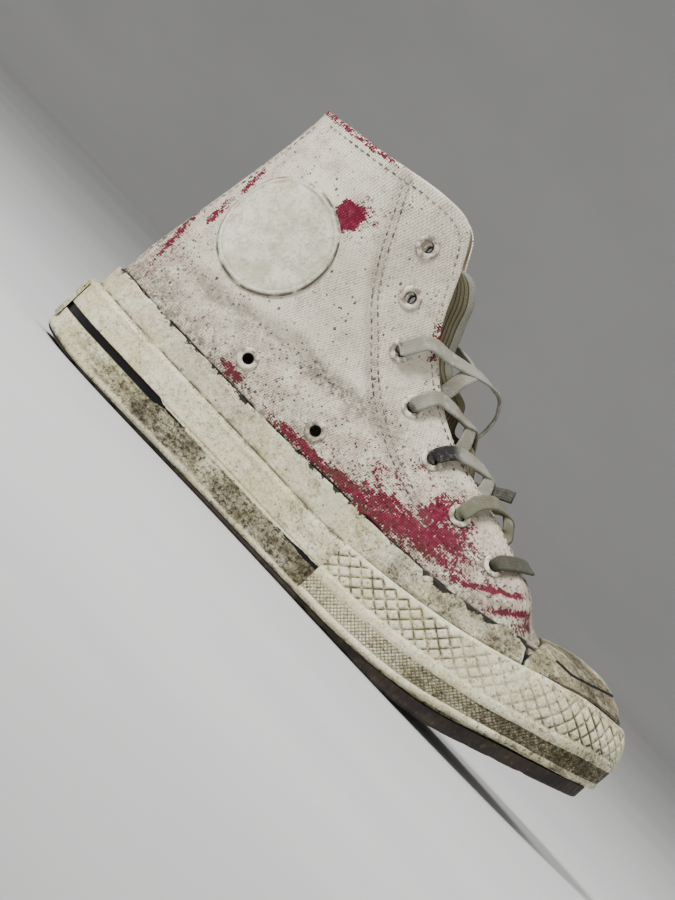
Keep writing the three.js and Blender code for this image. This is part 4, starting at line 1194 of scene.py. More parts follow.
def build_eyelets():
    """Rolled metal eyelets with their bores, painted over with the canvas."""
    angle = turn(EYELET_SIDES)[:, None]
    faces = tube_faces(len(EYELET_PROFILE), EYELET_SIDES, closed=True)
    # Points of the bore, which the finish paints near black as shade
    bore_shade = [float(h < 0.4 and r < 2.5) for r, h in EYELET_PROFILE for _ in range(EYELET_SIDES)]
    finish = eyelet_finish()
    for group, stem, holes, side, size in EYELET_GROUPS:
        parts = []
        for t, v in eyelet_places(holes, side):
            normal = skin_normal(np.array(t), np.array(v))
            centre = cloth(np.array(t), np.array(v))
            level = unit(np.cross((0, 0, 1.0), normal))
            ring = np.cos(angle) * level + np.sin(angle) * np.cross(normal, level)
            points = np.concatenate([centre + ring * r * size + normal * h for r, h in EYELET_PROFILE])
            parts.append((points, faces))
        piece = joined(group, parts)
        mark_points(piece.data, "bore_shade", bore_shade * len(parts))
        dress(piece, [finish], "eyelet", *(f"{stem}_{k + 1}" for k in range(len(parts))))


def stitch_row(side, points, shift):
    """Places of stitches along a line of the side view, shifted to its front."""
    corners = np.array(points, float)
    s = run_length(corners)
    fine = np.arange(0, s[-1], 1.0)
    x, z = (np.interp(fine, s, column) for column in corners.T)
    x, z = (np.convolve(np.pad(a, 6, mode="edge"), np.ones(13) / 13, "valid") for a in (x, z))
    dx, dz = np.gradient(x), np.gradient(z)
    size = np.hypot(dx, dz)
    x, z = x - shift * dz / size, z + shift * dx / size
    return np.array([locate(a, b, side) for a, b in zip(x[::4], z[::4])])


def stitches_along(places, off=0.12):
    """Small thread loops set end to end along a row of t, v places."""
    path = cloth(places[:, 0], places[:, 1])
    normal = skin_normal(places[:, 0], places[:, 1])
    s = run_length(path)
    pitch = STITCH_LONG + STITCH_GAP
    parts = []
    for k in range(int(s[-1] / pitch)):
        a, b = k * pitch, k * pitch + STITCH_LONG
        out = unit(at_length((a + b) / 2, s, normal))
        parts.append(thread_loop(at_length(a, s, path), at_length(b, s, path), out, off))
    return parts


def thread_loop(a, b, normal, off):
    """One stitch: a thread that dips in at both ends."""
    side = np.cross(normal, unit(b - a))
    rings, sides = 7, 6
    points = []
    for share in np.linspace(0, 1, rings):
        arch = math.sin(math.pi * share) ** 0.6
        centre = a + (b - a) * share + normal * (off - 0.3 + 0.42 * arch)
        size = THREAD_RADIUS * (0.55 + 0.45 * arch)
        points += [centre + side * math.cos(q) * size + normal * math.sin(q) * size for q in turn(sides)]
    caps = [list(range(sides))[::-1], list(range((rings - 1) * sides, rings * sides))]
    return np.array(points), tube_faces(rings, sides) + caps


def build_stitches():
    """Double rows at the front of the shaft, rows along the edges and beside the heel strip."""
    parts = []
    for side in (-1, 1):
        for shift in (0.0, STITCH_APART):
            parts += stitches_along(stitch_row(side, FRONT_STITCH, shift))
        for start, end, count, v in EDGE_STITCHES:
            reach = np.linspace(start, end, count)
            parts += stitches_along(np.stack([reach if side < 0 else 1 - reach, np.full(count, v)], 1))
        heel = 0.5 + side * (STRIP_REACH - 0.0035)
        parts += stitches_along(np.stack([np.full(90, heel), np.linspace(0.3, 0.95, 90)], 1), HEEL_STRIP + 0.12)
    dress(joined("upper_stitching", parts), [thread_finish()], "canvas")


def build_patch():
    """The plain round patch on the ankle, with a sewn rim."""
    shares = np.concatenate([np.linspace(0.02, 0.9, 22), np.linspace(0.915, 1, 8)])
    angle, share = np.meshgrid(turn(120), shares, indexing="ij")
    reach = PATCH_RADIUS * share
    t, v = walk(*locate(*PATCH_AT, -1), reach * np.cos(angle), reach * np.sin(angle))
    round_off = PATCH_RUBBER * np.sqrt(np.clip(1 - ((share - 0.955) / 0.045).clip(0) ** 2, 0, 1))
    sewn = np.exp(-(((share - 0.89) / 0.012) ** 2))
    ridge = 0.18 * np.exp(-(((share - 0.93) / 0.018) ** 2)) - 0.3 * sewn
    face = cloth(t, v, GAP + round_off + ridge + 0.16 * lumps(skin(t, v), 9, 11))
    back = cloth(t[:, ::-4], v[:, ::-4], GAP - 0.25)
    points = np.concatenate([face, back], 1)
    # The rim and sewn groove, which the finish darkens as painted shadow
    rim = np.concatenate([smooth(0.94, 0.975, share) + 0.8 * sewn, np.ones(back.shape[:2])], 1)
    piece = grid_mesh("ankle_disc", points, True, False, travel(points, True, False), {"rim": rim}, hubs=True)
    dress(piece, [patch_finish()], "patch", "ankle_patch", edge_angle=50)


def build_tape():
    """The thin upper tape, torn and black along its top."""
    t = np.linspace(wall_at(CAP_REAR_X - GAP, -1), 1 - wall_at(CAP_REAR_X - GAP, 1), 400)
    foot = around("foot", t)
    foxing = side_line(FOXING, foot[:, 0])
    top = side_line(TAPE_TOP, foot[:, 0]) + 0.35 * lumps(foot, 13, 5)
    base = foxing - 3
    off = TAPE_IN + TAPE
    rows = levels(base, top - 0.35, off, np.linspace(0, 1, 26))
    outer = len(rows)
    rows += [(top - 0.1, off - 0.2), (top, TAPE_IN + TAPE * 0.5), (top - 0.05, TAPE_IN - 0.3), (base, TAPE_IN - 0.3)]
    points = section(t, rows)
    ripple = (0.22 * lumps(points, 14, 8) + 0.12 * lumps(points, 5, 9)) * columns_marked(points, 0, outer + 1)
    for x0 in TAPE_LAPS:
        ahead = points[..., 0] - x0
        ripple += 0.55 * smooth(-1.4, 1.4, ahead) * smooth(9, 1, ahead) * columns_marked(points, 0, outer)
    points = points + outward(t)[:, None, :] * np.minimum(ripple, 0.45)[..., None]
    x, y, z = (points[..., k] for k in range(3))
    notch = np.zeros(x.shape)
    for x0, size in TAPE_TEARS:
        notch = np.maximum(notch, np.exp(-(((x - x0) / size) ** 2)) * smooth(0.5, -0.5, y))
    # at_wall marks the tape's foot by the ledge, darkened there as painted shade with dirt
    marks = {
        "dirt": 0.3 + 0.42 * smooth(-20, 50, x), "below_top": np.maximum(top[:, None] - z, 0), "notch": notch,
        "at_wall": smooth(1.3, 0.2, z - foxing[:, None]),
    }
    piece = grid_mesh("upper_tape", points, False, True, travel(points, False, True), marks, ends=True)
    dress(piece, [tape_finish()], "tape", "foxing_tape", edge_angle=55)


def build_sidewall():
    """The foxing wall with its worn lower lip, groove for the black stripe and rounded ledge."""
    t = upper_columns()
    x = around("foot", t)[:, 0]
    low, ridge, top = lower_edge(x), side_line(RIDGE, x), side_line(FOXING, x)
    slab, under = slab_top(x), outsole_top(x) + GAP
    stripe_top = ridge + STRIPE_TALL
    rear = smooth(12, 4, x)
    worn = smooth(-140, -128, x) * smooth(-80, -95, x) + smooth(-34, -26, x) * rear
    wave = 0.5 + 0.5 * np.sin(x * 2 * math.pi / 27 + 0.8) * np.sin(x * 2 * math.pi / 61)
    lip = 0.5 * (1 - 0.8 * worn * wave)
    rows = [(under + (low - under) * h, WALL_IN - 0.4 + 0.3 * h) for h in np.linspace(0, 1, 4)]
    rows += [(low + up, WALL_OUT - back) for up, back in ((-0.05, 1.6), (0, 0.9), (0.25, 0.35), (0.7, 0.05))]
    for h in np.linspace(0, 1, 18)[1:]:
        z = low + 0.7 + (ridge - 0.35 - low - 0.7) * h
        swell = lip * np.exp(-(((z - low - 2.4) / 1.6) ** 2))
        swell = swell - 0.35 * worn * np.exp(-(((z - low - 5.4 - 1.2 * wave) / 1.5) ** 2))
        rows.append((z, WALL_OUT + swell))
    rows.append((ridge, WALL_OUT - 0.15 * rear))
    rows += levels(ridge + 0.12, stripe_top - 0.12, WALL_OUT - 0.45 * rear, np.linspace(0, 1, 10))
    rows.append((stripe_top, WALL_OUT - 0.15 * rear))
    for h in np.linspace(0, 1, 18):
        z = stripe_top + 0.3 + (top - 1.6 - stripe_top - 0.3) * h
        rows.append((z, WALL_OUT + (0.3 + 0.2 * np.sin(x / 11)) * np.exp(-(((z - top + 2.2) / 1.2) ** 2))))
    for a in np.linspace(0.15, 1, 7) * math.pi / 2:
        rows.append((top - 1.6 + 1.6 * math.sin(a), WALL_OUT - 1.5 * (1 - math.cos(a))))
    rows += [(top - 0.15, WALL_IN + 0.5), (top - 0.6, WALL_IN)]
    rows += levels(slab, top - 0.6, WALL_IN, (0.66, 0.33, 0.0))
    points = section(t, rows)
    uneven = columns_marked(points, 8, -5) * (0.14 * lumps(points, 19, 21) + 0.07 * lumps(points, 5, 22))
    points = points + outward(t)[:, None, :] * uneven[..., None]
    along, z = points[..., 0], points[..., 2]
    rise = z - (ridge + STRIPE_TALL / 2)[:, None]
    stripe = np.where(points[:, 0, 1] > 0, np.interp(x, *STRIPE_LATERAL), np.interp(x, *STRIPE_MEDIAL))
    height = z - low[:, None]
    below = smooth(0.3, -0.6, rise) * smooth(1.6, 3.4, height)
    dirt = 0.2 + below * (0.55 + 0.35 * np.sin(along / 17)) * smooth(-136, -122, along)
    dirt += 0.75 * below * smooth(-58, -36, along) * smooth(14, 6, along)
    dirt += 0.55 * smooth(1.6, 0.3, height) + 0.3 * smooth(-60, 5, along) * smooth(0.5, 3, rise)
    # Darker along the top of the ledge, in the corner by the tape: painted shade with some dirt
    dirt += 0.35 * smooth(1.4, 0.2, (top[:, None] - z))
    marks = {"rise": rise, "stripe": stripe[:, None], "dirt": np.clip(dirt, 0, 1)}
    piece = grid_mesh("sidewall", points, True, False, travel(points, True, False), marks)
    dress(piece, [sidewall_finish()], "rubber", "midsole", edge_angle=55)


def build_bumper():
    """The toe bumper: coarse diamonds above the ridge and fine knurling below it."""
    t = np.linspace(foot_at(BUMPER_REAR_X, 1) - 1, foot_at(BUMPER_REAR_X, -1), 620)
    x = around("foot", t)[:, 0]
    low, ridge, top = lower_edge(x) + 1, side_line(RIDGE, x), side_line(FOXING, x)
    over_ridge = ridge + STRIPE_TALL
    lip = BUMPER_OUT + BUMPER_LIP
    rows = [(low, BUMPER_IN + 0.2), (low + 0.02, lip - 0.7), (low + 0.3, lip - 0.2), (low + 0.9, lip)]
    rows += [(low + 1.7, lip), (low + 2.2, lip - 0.2), (low + 2.6, BUMPER_OUT)]
    knurl_start = len(rows)
    rows += levels(low + 2.9, ridge - 0.9, BUMPER_OUT, np.linspace(0, 1, 14))
    knurl_end = len(rows)
    rows += [(ridge - 0.5, BUMPER_OUT + 0.15), (ridge, lip - 0.15), (ridge + 0.5, lip), (over_ridge - 0.5, lip)]
    rows += [(over_ridge, lip - 0.15), (over_ridge + 0.4, BUMPER_OUT + 0.1)]
    first = len(rows)
    rows += levels(over_ridge + 0.7, top - 1.2, BUMPER_OUT, np.linspace(0, 1, 44))
    final = len(rows)
    rows += [(top - 0.6, BUMPER_OUT - 0.1), (top + 0.1, BUMPER_OUT - 0.4), (top + 0.5, BUMPER_OUT - 1.0)]
    rows += [(top + 0.5, BUMPER_IN - 1.0), (top - 0.2, BUMPER_IN - 0.5), (top - 1.2, BUMPER_IN)]
    points = section(t, rows)
    along, z = points[..., 0], points[..., 2]
    h, down, height = z - over_ridge[:, None], top[:, None] - z, z - low[:, None]
    middle = run_length(points[:, first + 22])
    pitch = settings().diamond_pitch / MM
    u, w = (middle - middle[-1] / 2)[:, None] / pitch, h / (pitch * DIAMOND_TALL)
    a, b = (np.abs(np.mod(lean, 1) - 0.5) * 2 for lean in (u + w, u - w))
    groove = np.maximum(smooth(0.68, 0.92, a), smooth(0.68, 0.92, b))
    field = smooth(0.4, 1.6, h) * smooth(0.6, 2.0, down) * columns_marked(points, first, final)
    side_worn = 0.5 + 0.5 * lumps(points, 30, 41)
    nose = smooth(78, 118, along)
    smoothed = smooth(52, 76, along) * smooth(122, 104, along)
    rubbed = 0.08 + 0.6 * smoothed + 0.3 * nose * side_worn + 0.25 * smooth(0.7, 1.1, side_worn)
    rubbed = np.clip(rubbed, 0, 0.85)
    relief = field * DIAMOND_DEEP * (1 - rubbed) * (0.25 * np.minimum(1 - a, 1 - b) - groove)
    uneven = columns_marked(points, 3, final + 2) * (0.12 * lumps(points, 16, 43) + 0.06 * lumps(points, 5, 44))
    points = points + outward(t)[:, None, :] * (relief + uneven)[..., None]
    along = points[..., 0]
    knurl = columns_marked(points, knurl_start, knurl_end)
    dirt = 0.12 + (0.25 + 0.38 * smooth(20, 70, along)) * knurl
    dirt += 0.45 * nose * smooth(6, 0, h) + 0.3 * smooth(1.0, 0.0, height)
    dirt += 0.5 * smooth(3.0, 0.6, down) * smooth(50, 110, along) + 0.4 * field * groove
    marks = {
        "groove": field * groove, "fresh": np.clip(rubbed * 1.1, 0, 1), "knurl": knurl,
        "dirt": np.clip(dirt, 0, 1),
    }
    piece = grid_mesh("diamond_bumper", points, False, True, travel(points, False, True), marks, ends=True)
    dress(piece, [bumper_finish()], "rubber", "toe_bumper", edge_angle=60)


def build_heel_plate():
    """The small plain plate at the back of the sidewall."""
    t = np.linspace(0.5 - PLATE_REACH, 0.5 + PLATE_REACH, 60)
    low, top = PLATE_LOW, PLATE_TOP
    rows = [(low, BUMPER_IN), (low, PLATE_OUT - 0.6), (low + 0.3, PLATE_OUT - 0.1), (low + 0.9, PLATE_OUT)]
    rows += levels(low + 0.9, top - 0.9, PLATE_OUT, np.linspace(0.04, 0.96, 16))
    rows += [(top - 0.9, PLATE_OUT), (top - 0.3, PLATE_OUT - 0.1), (top, PLATE_OUT - 0.6), (top, BUMPER_IN)]
    points = section(t, rows)
    side = smooth(0, 0.0022, PLATE_REACH - np.abs(t - 0.5))[:, None]
    uneven = columns_marked(points, 1, -1) * (0.08 * lumps(points, 6, 51) - 0.6 * (1 - side))
    points = points + outward(t)[:, None, :] * uneven[..., None]
    piece = grid_mesh("heel_tab", points, False, True, travel(points, False, True), {"dirt": 0.5}, ends=True)
    finish, tone, _, streaks = cream_finish("cream_tab", settings().rubber_cream)
    finish.set(Base_Color=tone, Roughness=0.6)
    finish.bump((streaks, 0.15), (finish.noise(1.2, 3), 0.06))
    dress(piece, [finish.material], "rubber", "heel_plate", edge_angle=55)


def build_cap():
    """The toe cap, thick and cracked, thinning to its rear edge."""
    t = np.linspace(0.001 - wall_at(CAP_REAR_X, 1), wall_at(CAP_REAR_X, -1) - 0.001, 260)
    foxing = side_line(FOXING, around("foot", t)[..., 0])
    low = first_for(lambda v: skin(t, v, True)[..., 2] > foxing - 0.8, 0, 0.7, t.shape)

    def past(v):
        p = skin(t, v, True)
        return p[..., 0] < CAP_REAR_X - CAP_REAR_BOW * (1 - np.minimum(1, np.abs(p[..., 1]) / 30))

    high = np.maximum(first_for(past, 0.02, 0.95, t.shape), low + 0.02)
    share = np.concatenate([np.linspace(0, 0.88, 54), np.linspace(0.89, 1, 16)])
    tt = np.repeat(t[:, None], len(share), 1)
    vv = low[:, None] + (high - low)[:, None] * share
    drop = np.clip((share - 0.89) / 0.11, 0, 1)
    rubber = CAP_RUBBER * (1 - 0.55 * drop**1.5) * np.sqrt(np.clip(1 - drop**6 * 0.96, 0, 1))
    start = skin(tt, vv, True)
    face = off_skin(tt, vv, GAP + rubber + 0.2 * lumps(start, 17, 61) + 0.1 * lumps(start, 5, 62), True)
    back = off_skin(tt[:, ::-5], vv[:, ::-5], np.full(tt[:, ::-5].shape, GAP - 0.1), True)
    points = np.concatenate([face, back], 1)
    sunk = np.exp(-(((points[..., 0] - 84) / 8) ** 2)) * smooth(34, 22, np.abs(points[..., 1]))
    points[..., 2] -= CAP_REAR_SINK * sunk
    x, y, z = (points[..., k] for k in range(3))
    side_crack = np.exp(-((line_distance(x, z, CAP_CRACK) / 0.65) ** 2)) * smooth(6, -4, y)
    cross_crack = np.exp(-(((x - 118) / 1.2) ** 2)) * np.exp(-(((y - 6) / 12) ** 2)) * 0.8
    # The cap's rear and lower edges, which the finish darkens as painted shadow
    seam = np.zeros(points.shape[:2])
    seam[:, : len(share)] = smooth(0.975, 0.995, share)
    seam[:, :3] = np.maximum(seam[:, :3], 0.9)
    dirt = np.clip(0.75 + 0.25 * lumps(points, 24, 63), 0, 1)
    marks = {"crack": np.maximum(side_crack, cross_crack), "seam": seam, "dirt": dirt}
    piece = grid_mesh("toe_crown", points, False, True, travel(points, False, True), marks, ends=True)
    dress(piece, [cap_finish()], "cap", "toe_cap", edge_angle=60)


def build_outsole():
    """The brown tread plate: a bevelled side with worn notches and a ribbed underside."""
    t = upper_columns()
    x = around("foot", t)[:, 0]
    base = ground(x)
    rebate = np.minimum(np.maximum(lower_edge(x) - GAP, base + 0.9), outsole_top(x) - 0.1)
    notch = np.max([smooth(1.9, 0.9, np.abs(x - x0)) for x0 in TREADS], 0)
    rows = [(base, WALL_OUT - 2.5 - 1.3 * notch), (base + 0.25, WALL_OUT - 1.7 - 1.3 * notch)]
    rows.append((base + 0.8, WALL_OUT - 1.0 - 1.2 * notch))
    for h in np.linspace(0.15, 1, 8):
        off = WALL_OUT - 0.9 + 0.2 * h - 0.9 * notch * smooth(0.8, 0.2, h)
        rows.append((base + 0.8 + (rebate - base - 0.8) * h, off))
    rows += [(rebate + 0.02, WALL_IN - 0.5), (outsole_top(x), WALL_IN - 0.8)]
    side = section(t, rows)
    ring, half = side[:, 0], len(t) // 2
    left, right = ring[: half + 1], np.concatenate([ring[:1], ring[: -half - 1 : -1]])
    share = np.linspace(0, 1, 25)[:, None]
    under = left[:, None, :] * (1 - share) + right[:, None, :] * share
    under[..., 2] = ground(under[..., 0])
    grooved = np.max([smooth(1.7, 0.9, np.abs(under[..., 0] - x0)) for x0 in TREADS], 0)
    under[..., 2] += 1.1 * grooved * smooth(0, 0.08, np.minimum(share, 1 - share))[:, 0]
    finish = outsole_finish()
    wall_piece = grid_mesh("outsole_side", side, True, False, travel(side, True, False))
    dress(wall_piece, [finish], "outsole", "outsole", edge_angle=50)
    plate = grid_mesh("outsole_tread", under[:, ::-1], False, False, travel(under[:, ::-1], False, False))
    dress(plate, [finish], "outsole", edge_angle=50)


def build_tongue():
    """The tongue: held under both flaps, standing up between them, with a bound crest."""
    table = np.array(TONGUE, float)
    steps = np.linspace(0, len(table) - 1, 130)
    i = np.clip(steps.astype(int), 0, len(table) - 2)
    rows = through(table, i, (steps - i)[:, None])
    rib, q = np.meshgrid(rows[:, 0], np.linspace(-1, 1, 141), indexing="ij")
    raise_by, tuck = rows[:, 1:2], rows[:, 2:3]
    t = rib / len(RING["foot"])

    def under(place, v, depth):
        return off_skin(place, v, -CANVAS - depth)

    one = np.ones_like(t)
    near, far = (under(place, one, TONGUE_UNDER_EDGE * one) for place in (t, 1 - t))
    ahead = around("edge", t - 0.01) - around("edge", t + 0.01)
    ahead[..., 1] = 0
    ahead = unit(ahead)
    lift = np.stack([-ahead[..., 2], 0 * t, ahead[..., 0]], -1)
    share = np.abs(q) / TONGUE_MID
    over = ((1 + np.clip(q / TONGUE_MID, -1, 1)) / 2)[..., None]
    crest = raise_by * np.cos(np.pi / 2 * np.clip(share, 0, 1)) ** 2
    middle = near * (1 - over) + far * over + lift * crest[..., None]
    beyond = np.clip((np.abs(q) - TONGUE_MID) / (1 - TONGUE_MID), 0, 1)
    depth = TONGUE_UNDER_EDGE + (TONGUE_UNDER_FLAP - TONGUE_UNDER_EDGE) * beyond
    sides = under(np.where(q < 0, t, 1 - t), 1 - (1 - tuck) * beyond, depth)
    top = np.where((share <= 1)[..., None], middle, sides)
    top = top + lift * (0.25 * lumps(top, 12, 71) * (share < 1))[..., None]
    bottom = (top - lift * (TONGUE_THICK - 0.5 * (np.abs(q) > 0.97))[..., None])[:, ::-1]
    points = np.concatenate([top, bottom], 1)
    below = raise_by - crest
    bound = smooth(3.0, 2.4, below) * smooth(5.9, 6.5, rib)
    lines = sum(np.exp(-(((below - deep) / 0.42) ** 2)) for deep in TONGUE_QUILTING) * smooth(3, 6, raise_by)
    # Where the tongue runs under the flaps, and its underside: painted dark there as shade
    shaded_under_flaps = smooth(0.72, 0.98, share) * smooth(4, 5, rib)
    flat = np.zeros_like(below)
    marks = {
        key: np.concatenate([upside, underside], 1)
        for key, upside, underside in (("bound", bound, flat), ("rows", lines, flat), ("shaded_under_flaps", shaded_under_flaps, flat + 1))
    }
    piece = grid_mesh("tongue_cloth", points, False, True, travel(points, False, True), marks, ends=True)
    dress(piece, [tongue_finish()], "lining", "tongue", edge_angle=65)


def build_insole():
    """The insole: its own plate kept, with a flattened cloth finish."""
    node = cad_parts["insole"]
    node.data.materials.clear()
    node.data.materials.append(insole_finish())


def curve_points(route, count):
    """Even points, in metres, on a smooth line through a route."""
    p = np.array(route, float)
    padded = np.concatenate([[2 * p[0] - p[1]], p, [2 * p[-1] - p[-2]]])
    steps = np.linspace(0, len(p) - 1, 400)
    i = np.clip(steps.astype(int), 0, len(p) - 2)
    fine = through(padded, i + 1, (steps - i)[:, None])
    length = run_length(fine)
    return at_length(np.linspace(0, length[-1], count), length, fine), length[-1]


def lying_face(p):
    """Which way a lace faces that lies over the tongue."""
    return np.stack([np.full(len(p), 0.2), p[:, 1] / LACE_LEAN, np.ones(len(p))], 1)


def turned_face(p):
    """Which way the loose end faces, turned over towards its tip."""
    share = smooth(0.020, 0.030, p[:, 0])[:, None]
    return np.array((0, 0.75, 0.66)) * (1 - share) + np.array((-0.2, 1, -0.3)) * share


def flat_lace(name, points, face, width, thick, grime, olive):
    """A flat woven lace along points in metres: a rounded section with thick selvedges."""
    along = unit(np.gradient(points, axis=0))
    up = unit(face - along * (face * along).sum(-1, keepdims=True))
    side = np.cross(along, up)
    outline = LACE_SECTION + [(-a, -b) for a, b in LACE_SECTION]
    width, thick, grime, olive = (
        np.broadcast_to(np.asarray(a, float), (len(points),))[:, None] for a in (width, thick, grime, olive)
    )
    grid = np.stack([points + side * a * width + up * b * thick for a, b in outline], 1) / MM
    u = np.repeat(run_length(points)[:, None], len(outline) + 1, 1)
    w = np.array([a for a, _ in outline + outline[:1]]) * width
    return grid_mesh(name, grid, False, True, (u, w), {"grime": grime, "olive": olive}, ends=True)


def into_eyelet(route, side, row):
    """A route that starts on top of an eyelet is led down through its hole."""
    t, v = locate(*LACE_EYELETS[row - 1], side)
    centre = skin(np.array(t), np.array(v)) * MM
    normal = skin_normal(np.array(t), np.array(v))
    brim = centre * 0.5 + np.array(route[0]) * 0.5 + normal * 0.0016
    return [tuple(centre - normal * 0.0045), tuple(centre - normal * 0.0005), tuple(brim), *route[1:]]


def under_flap(route, side):
    """A strand's way down between the flaps and under the far one, on the given side."""
    reach = np.linspace(0.1, 0.36, 400)
    t = reach if side < 0 else 1 - reach
    best = t[np.argmin(np.abs(skin(t, np.ones_like(t))[:, 0] - route[-1][0] / MM))]
    lip = skin(best, np.array(1.0)) + np.array((0.8, -side * 2.4, 1.0))
    hidden = off_skin(np.full(3, best), np.array((0.975, 0.93, 0.88)), np.full(3, -CANVAS - 0.9))
    return [*route[:-1], *(tuple(p * MM) for p in (lip, *hidden))]


def drawn_in(reach):
    """Width and thickness of a lace at a distance from the eyelet that it comes out of."""
    s, wide = settings(), smooth(0.003, 0.009, reach)
    return s.lace_width * (0.62 + 0.38 * wide), s.lace_thick * (1.45 - 0.45 * wide)


def build_laces():
    """The crossed strands, the bottom bar and the short loose end."""
    finish = lace_finish()
    for name, strands in LACE_ROUTES.items():
        row = int(name[-1])
        for side_name, route in strands.items():
            side = -1 if side_name == "medial" else 1
            points, length = curve_points(under_flap(into_eyelet(route, side, row), -side), 150)
            reach = np.linspace(0, length, len(points))
            blackened = row == 5 and side < 0
            grime = smooth(0.004, 0.007, reach) * smooth(0.022, 0.015, reach) if blackened else 0
            # Row 6 is olive-stained and the rest lightly stained; the extra olive on the lateral strand of row 4 is
            # painted shade
            olive = 1.0 if row == 6 else 0.75 if row == 4 and side > 0 else 0.25
            face = lying_face(points)
            if row == 3 and side < 0:
                share = smooth(0.001, 0.008, points[:, 0])[:, None]
                face = face * (1 - share) + np.array((1.0, 0.1, 0.25)) * share
            strand = flat_lace(f"{name}_{side_name}", points, face, *drawn_in(reach), grime, olive)
            dress(strand, [finish], "lace", *([name] if side < 0 else []))
    bar = into_eyelet(LACE_BAR, -1, 7)
    bar = into_eyelet(bar[::-1], 1, 7)[::-1]
    points, length = curve_points(bar, 150)
    reach = np.linspace(0, length, len(points))
    narrowed = drawn_in(np.minimum(reach, length - reach))
    dress(flat_lace("lace_bar", points, lying_face(points), *narrowed, 0.55, 1.0), [finish], "lace", "lace_bar_7")
    points, length = curve_points(LACE_END, 70)
    piece = flat_lace("lace_tip", points, turned_face(points), LACE_END_WIDTH, settings().lace_thick, 0.7, 0.3)
    dress(piece, [finish], "lace", "lace_end")


def build_stage():
    """Camera first, then a pale floor that rises far away, and soft light."""
    roll, azimuth, elevation = (math.radians(a) for a in (CAMERA_ROLL, CAMERA_AZIMUTH, CAMERA_ELEVATION))
    target = Vector(CAMERA_TARGET)
    level = math.cos(elevation)
    back = Vector((math.sin(azimuth) * level, -math.cos(azimuth) * level, math.sin(elevation)))
    right = Vector((math.cos(azimuth), math.sin(azimuth), 0))
    up = back.cross(right)
    turned_right = right * math.cos(roll) + up * math.sin(roll)
    turned_up = up * math.cos(roll) - right * math.sin(roll)
    data = bpy.data.cameras.new("camera")
    data.lens, data.sensor_width = CAMERA_LENS, 36
    data.clip_start, data.clip_end = 0.05, 30
    camera = placed("camera", data)
    axes = Matrix((turned_right, turned_up, back)).transposed().to_4x4()
    camera.matrix_world = Matrix.Translation(target + back * CAMERA_DISTANCE) @ axes
    bpy.context.scene.camera = camera

    f = Finish("pale_floor")
    f.set(Base_Color=f.mix(f.blot(260, 3, 0.55, 0.3, 0.7), paint(203, 203, 202), paint(196, 196, 196)))
    f.set(Roughness=0.9, Specular_IOR_Level=0.1)
    profile = [(r, 0.0) for r in (0.002, 0.4, 1.2, FLOOR_RADIUS)]
    for a in np.linspace(0.08, 1.45, 18):
        profile.append((FLOOR_RADIUS + FLOOR_BEND * math.sin(a), FLOOR_BEND * (1 - math.cos(a))))
    rows = [[(r * math.cos(a) / MM, r * math.sin(a) / MM, z / MM) for r, z in profile] for a in turn(96)]
    sweep = grid_mesh("floor", np.array(rows), ring_along=True)
    sweep.data.materials.append(f.material)

    for name, place, size, power in LAMPS:
        data = bpy.data.lights.new(name, "AREA")
        data.shape, data.size, data.energy = "DISK", size, power
        item = placed(name, data)
        item.location = place
        item.rotation_euler = (target - Vector(place)).to_track_quat("-Z", "Y").to_euler()
    world = bpy.data.worlds.new("soft_daylight")
    world.use_nodes = True
    sky = world.node_tree.nodes["Background"]
    sky.inputs[0].default_value = SKY
    sky.inputs[1].default_value = SKY_STRENGTH
    bpy.context.scene.world = world


# ---- Operators, panel and main


class SNEAKER_OT_stage(bpy.types.Operator):
    """Add the camera, floor and lights"""

    bl_idname = "sneaker.stage"
    bl_label = "Stage"

    def execute(self, context):
        build_stage()
        return {"FINISHED"}


class SNEAKER_OT_laces(bpy.types.Operator):
    """Add the laces through their eyelets"""

    bl_idname = "sneaker.laces"
    bl_label = "Laces"

    def execute(self, context):
        build_laces()
        return {"FINISHED"}


class SNEAKER_OT_upper(bpy.types.Operator):
    """Add the canvas upper with its lining"""

    bl_idname = "sneaker.upper"
    bl_label = "Upper"

    def execute(self, context):
        build_upper()
        return {"FINISHED"}


class SNEAKER_OT_stitches(bpy.types.Operator):
    """Add the rows of stitching"""

    bl_idname = "sneaker.stitches"
    bl_label = "Stitches"

    def execute(self, context):
        build_stitches()
        return {"FINISHED"}


class SNEAKER_OT_eyelets(bpy.types.Operator):
    """Add the lace eyelets and vents"""

    bl_idname = "sneaker.eyelets"
    bl_label = "Eyelets"

    def execute(self, context):
        build_eyelets()
        return {"FINISHED"}


class SNEAKER_OT_patch(bpy.types.Operator):
    """Add the round ankle patch"""

    bl_idname = "sneaker.patch"
    bl_label = "Ankle patch"

    def execute(self, context):
        build_patch()
        return {"FINISHED"}


class SNEAKER_OT_tongue(bpy.types.Operator):
    """Add the tongue and finish the insole"""

    bl_idname = "sneaker.tongue"
    bl_label = "Tongue and insole"

    def execute(self, context):
        build_tongue()
        build_insole()
        return {"FINISHED"}


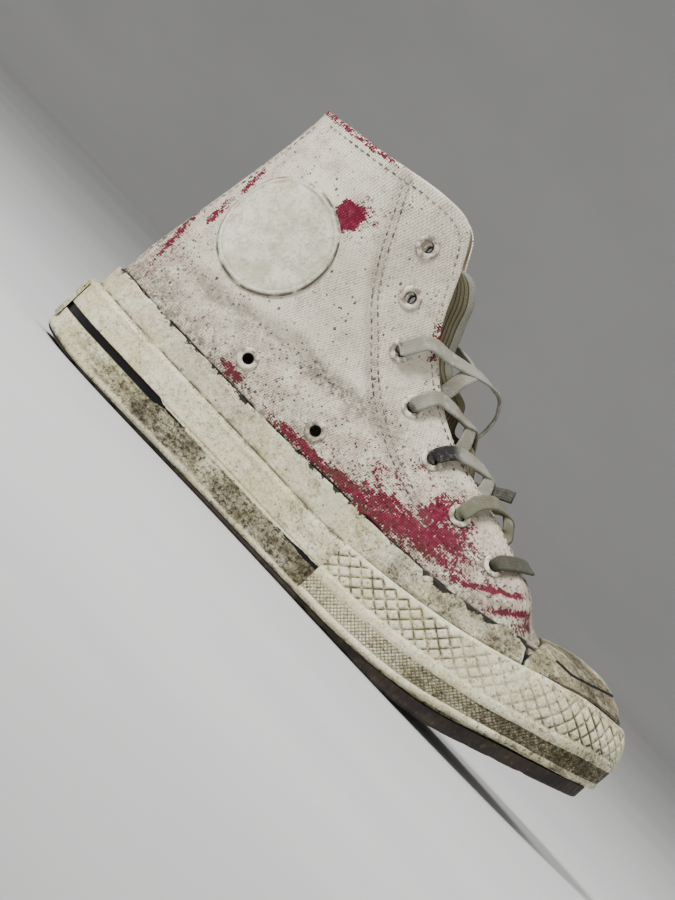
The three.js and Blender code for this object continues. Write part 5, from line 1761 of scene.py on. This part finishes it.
class SNEAKER_OT_sidewall(bpy.types.Operator):
    """Add the sidewall, the upper tape and the heel plate"""

    bl_idname = "sneaker.sidewall"
    bl_label = "Sidewall and tape"

    def execute(self, context):
        build_sidewall()
        build_tape()
        build_heel_plate()
        return {"FINISHED"}


class SNEAKER_OT_toe(bpy.types.Operator):
    """Add the toe cap and the patterned bumper"""

    bl_idname = "sneaker.toe"
    bl_label = "Toe cap and bumper"

    def execute(self, context):
        build_cap()
        build_bumper()
        return {"FINISHED"}


class SNEAKER_OT_outsole(bpy.types.Operator):
    """Add the brown outsole"""

    bl_idname = "sneaker.outsole"
    bl_label = "Outsole"

    def execute(self, context):
        build_outsole()
        return {"FINISHED"}


STEPS = ("stage", "laces", "upper", "stitches", "eyelets", "patch", "tongue", "sidewall", "toe", "outsole")


class SNEAKER_PT_panel(bpy.types.Panel):
    bl_label = "Sneaker"
    bl_idname = "SNEAKER_PT_panel"
    bl_space_type = "VIEW_3D"
    bl_region_type = "UI"
    bl_category = "Sneaker"

    def draw(self, context):
        chosen = context.scene.sneaker
        for key in chosen.bl_rna.properties.keys():
            if key not in {"rna_type", "name"}:
                self.layout.prop(chosen, key)
        for step in STEPS:
            self.layout.operator(f"sneaker.{step}")


CLASSES = (
    SneakerSettings,
    SNEAKER_OT_stage,
    SNEAKER_OT_laces,
    SNEAKER_OT_upper,
    SNEAKER_OT_stitches,
    SNEAKER_OT_eyelets,
    SNEAKER_OT_patch,
    SNEAKER_OT_tongue,
    SNEAKER_OT_sidewall,
    SNEAKER_OT_toe,
    SNEAKER_OT_outsole,
    SNEAKER_PT_panel,
)


def register():
    for made in CLASSES:
        bpy.utils.register_class(made)
    bpy.types.Scene.sneaker = PointerProperty(type=SneakerSettings)


def unregister():
    del bpy.types.Scene.sneaker
    for made in reversed(CLASSES):
        bpy.utils.unregister_class(made)


def main():
    register()
    for step in STEPS:
        getattr(bpy.ops.sneaker, step)()
    bpy.context.view_layer.update()


if __name__ == "__main__":
    main()
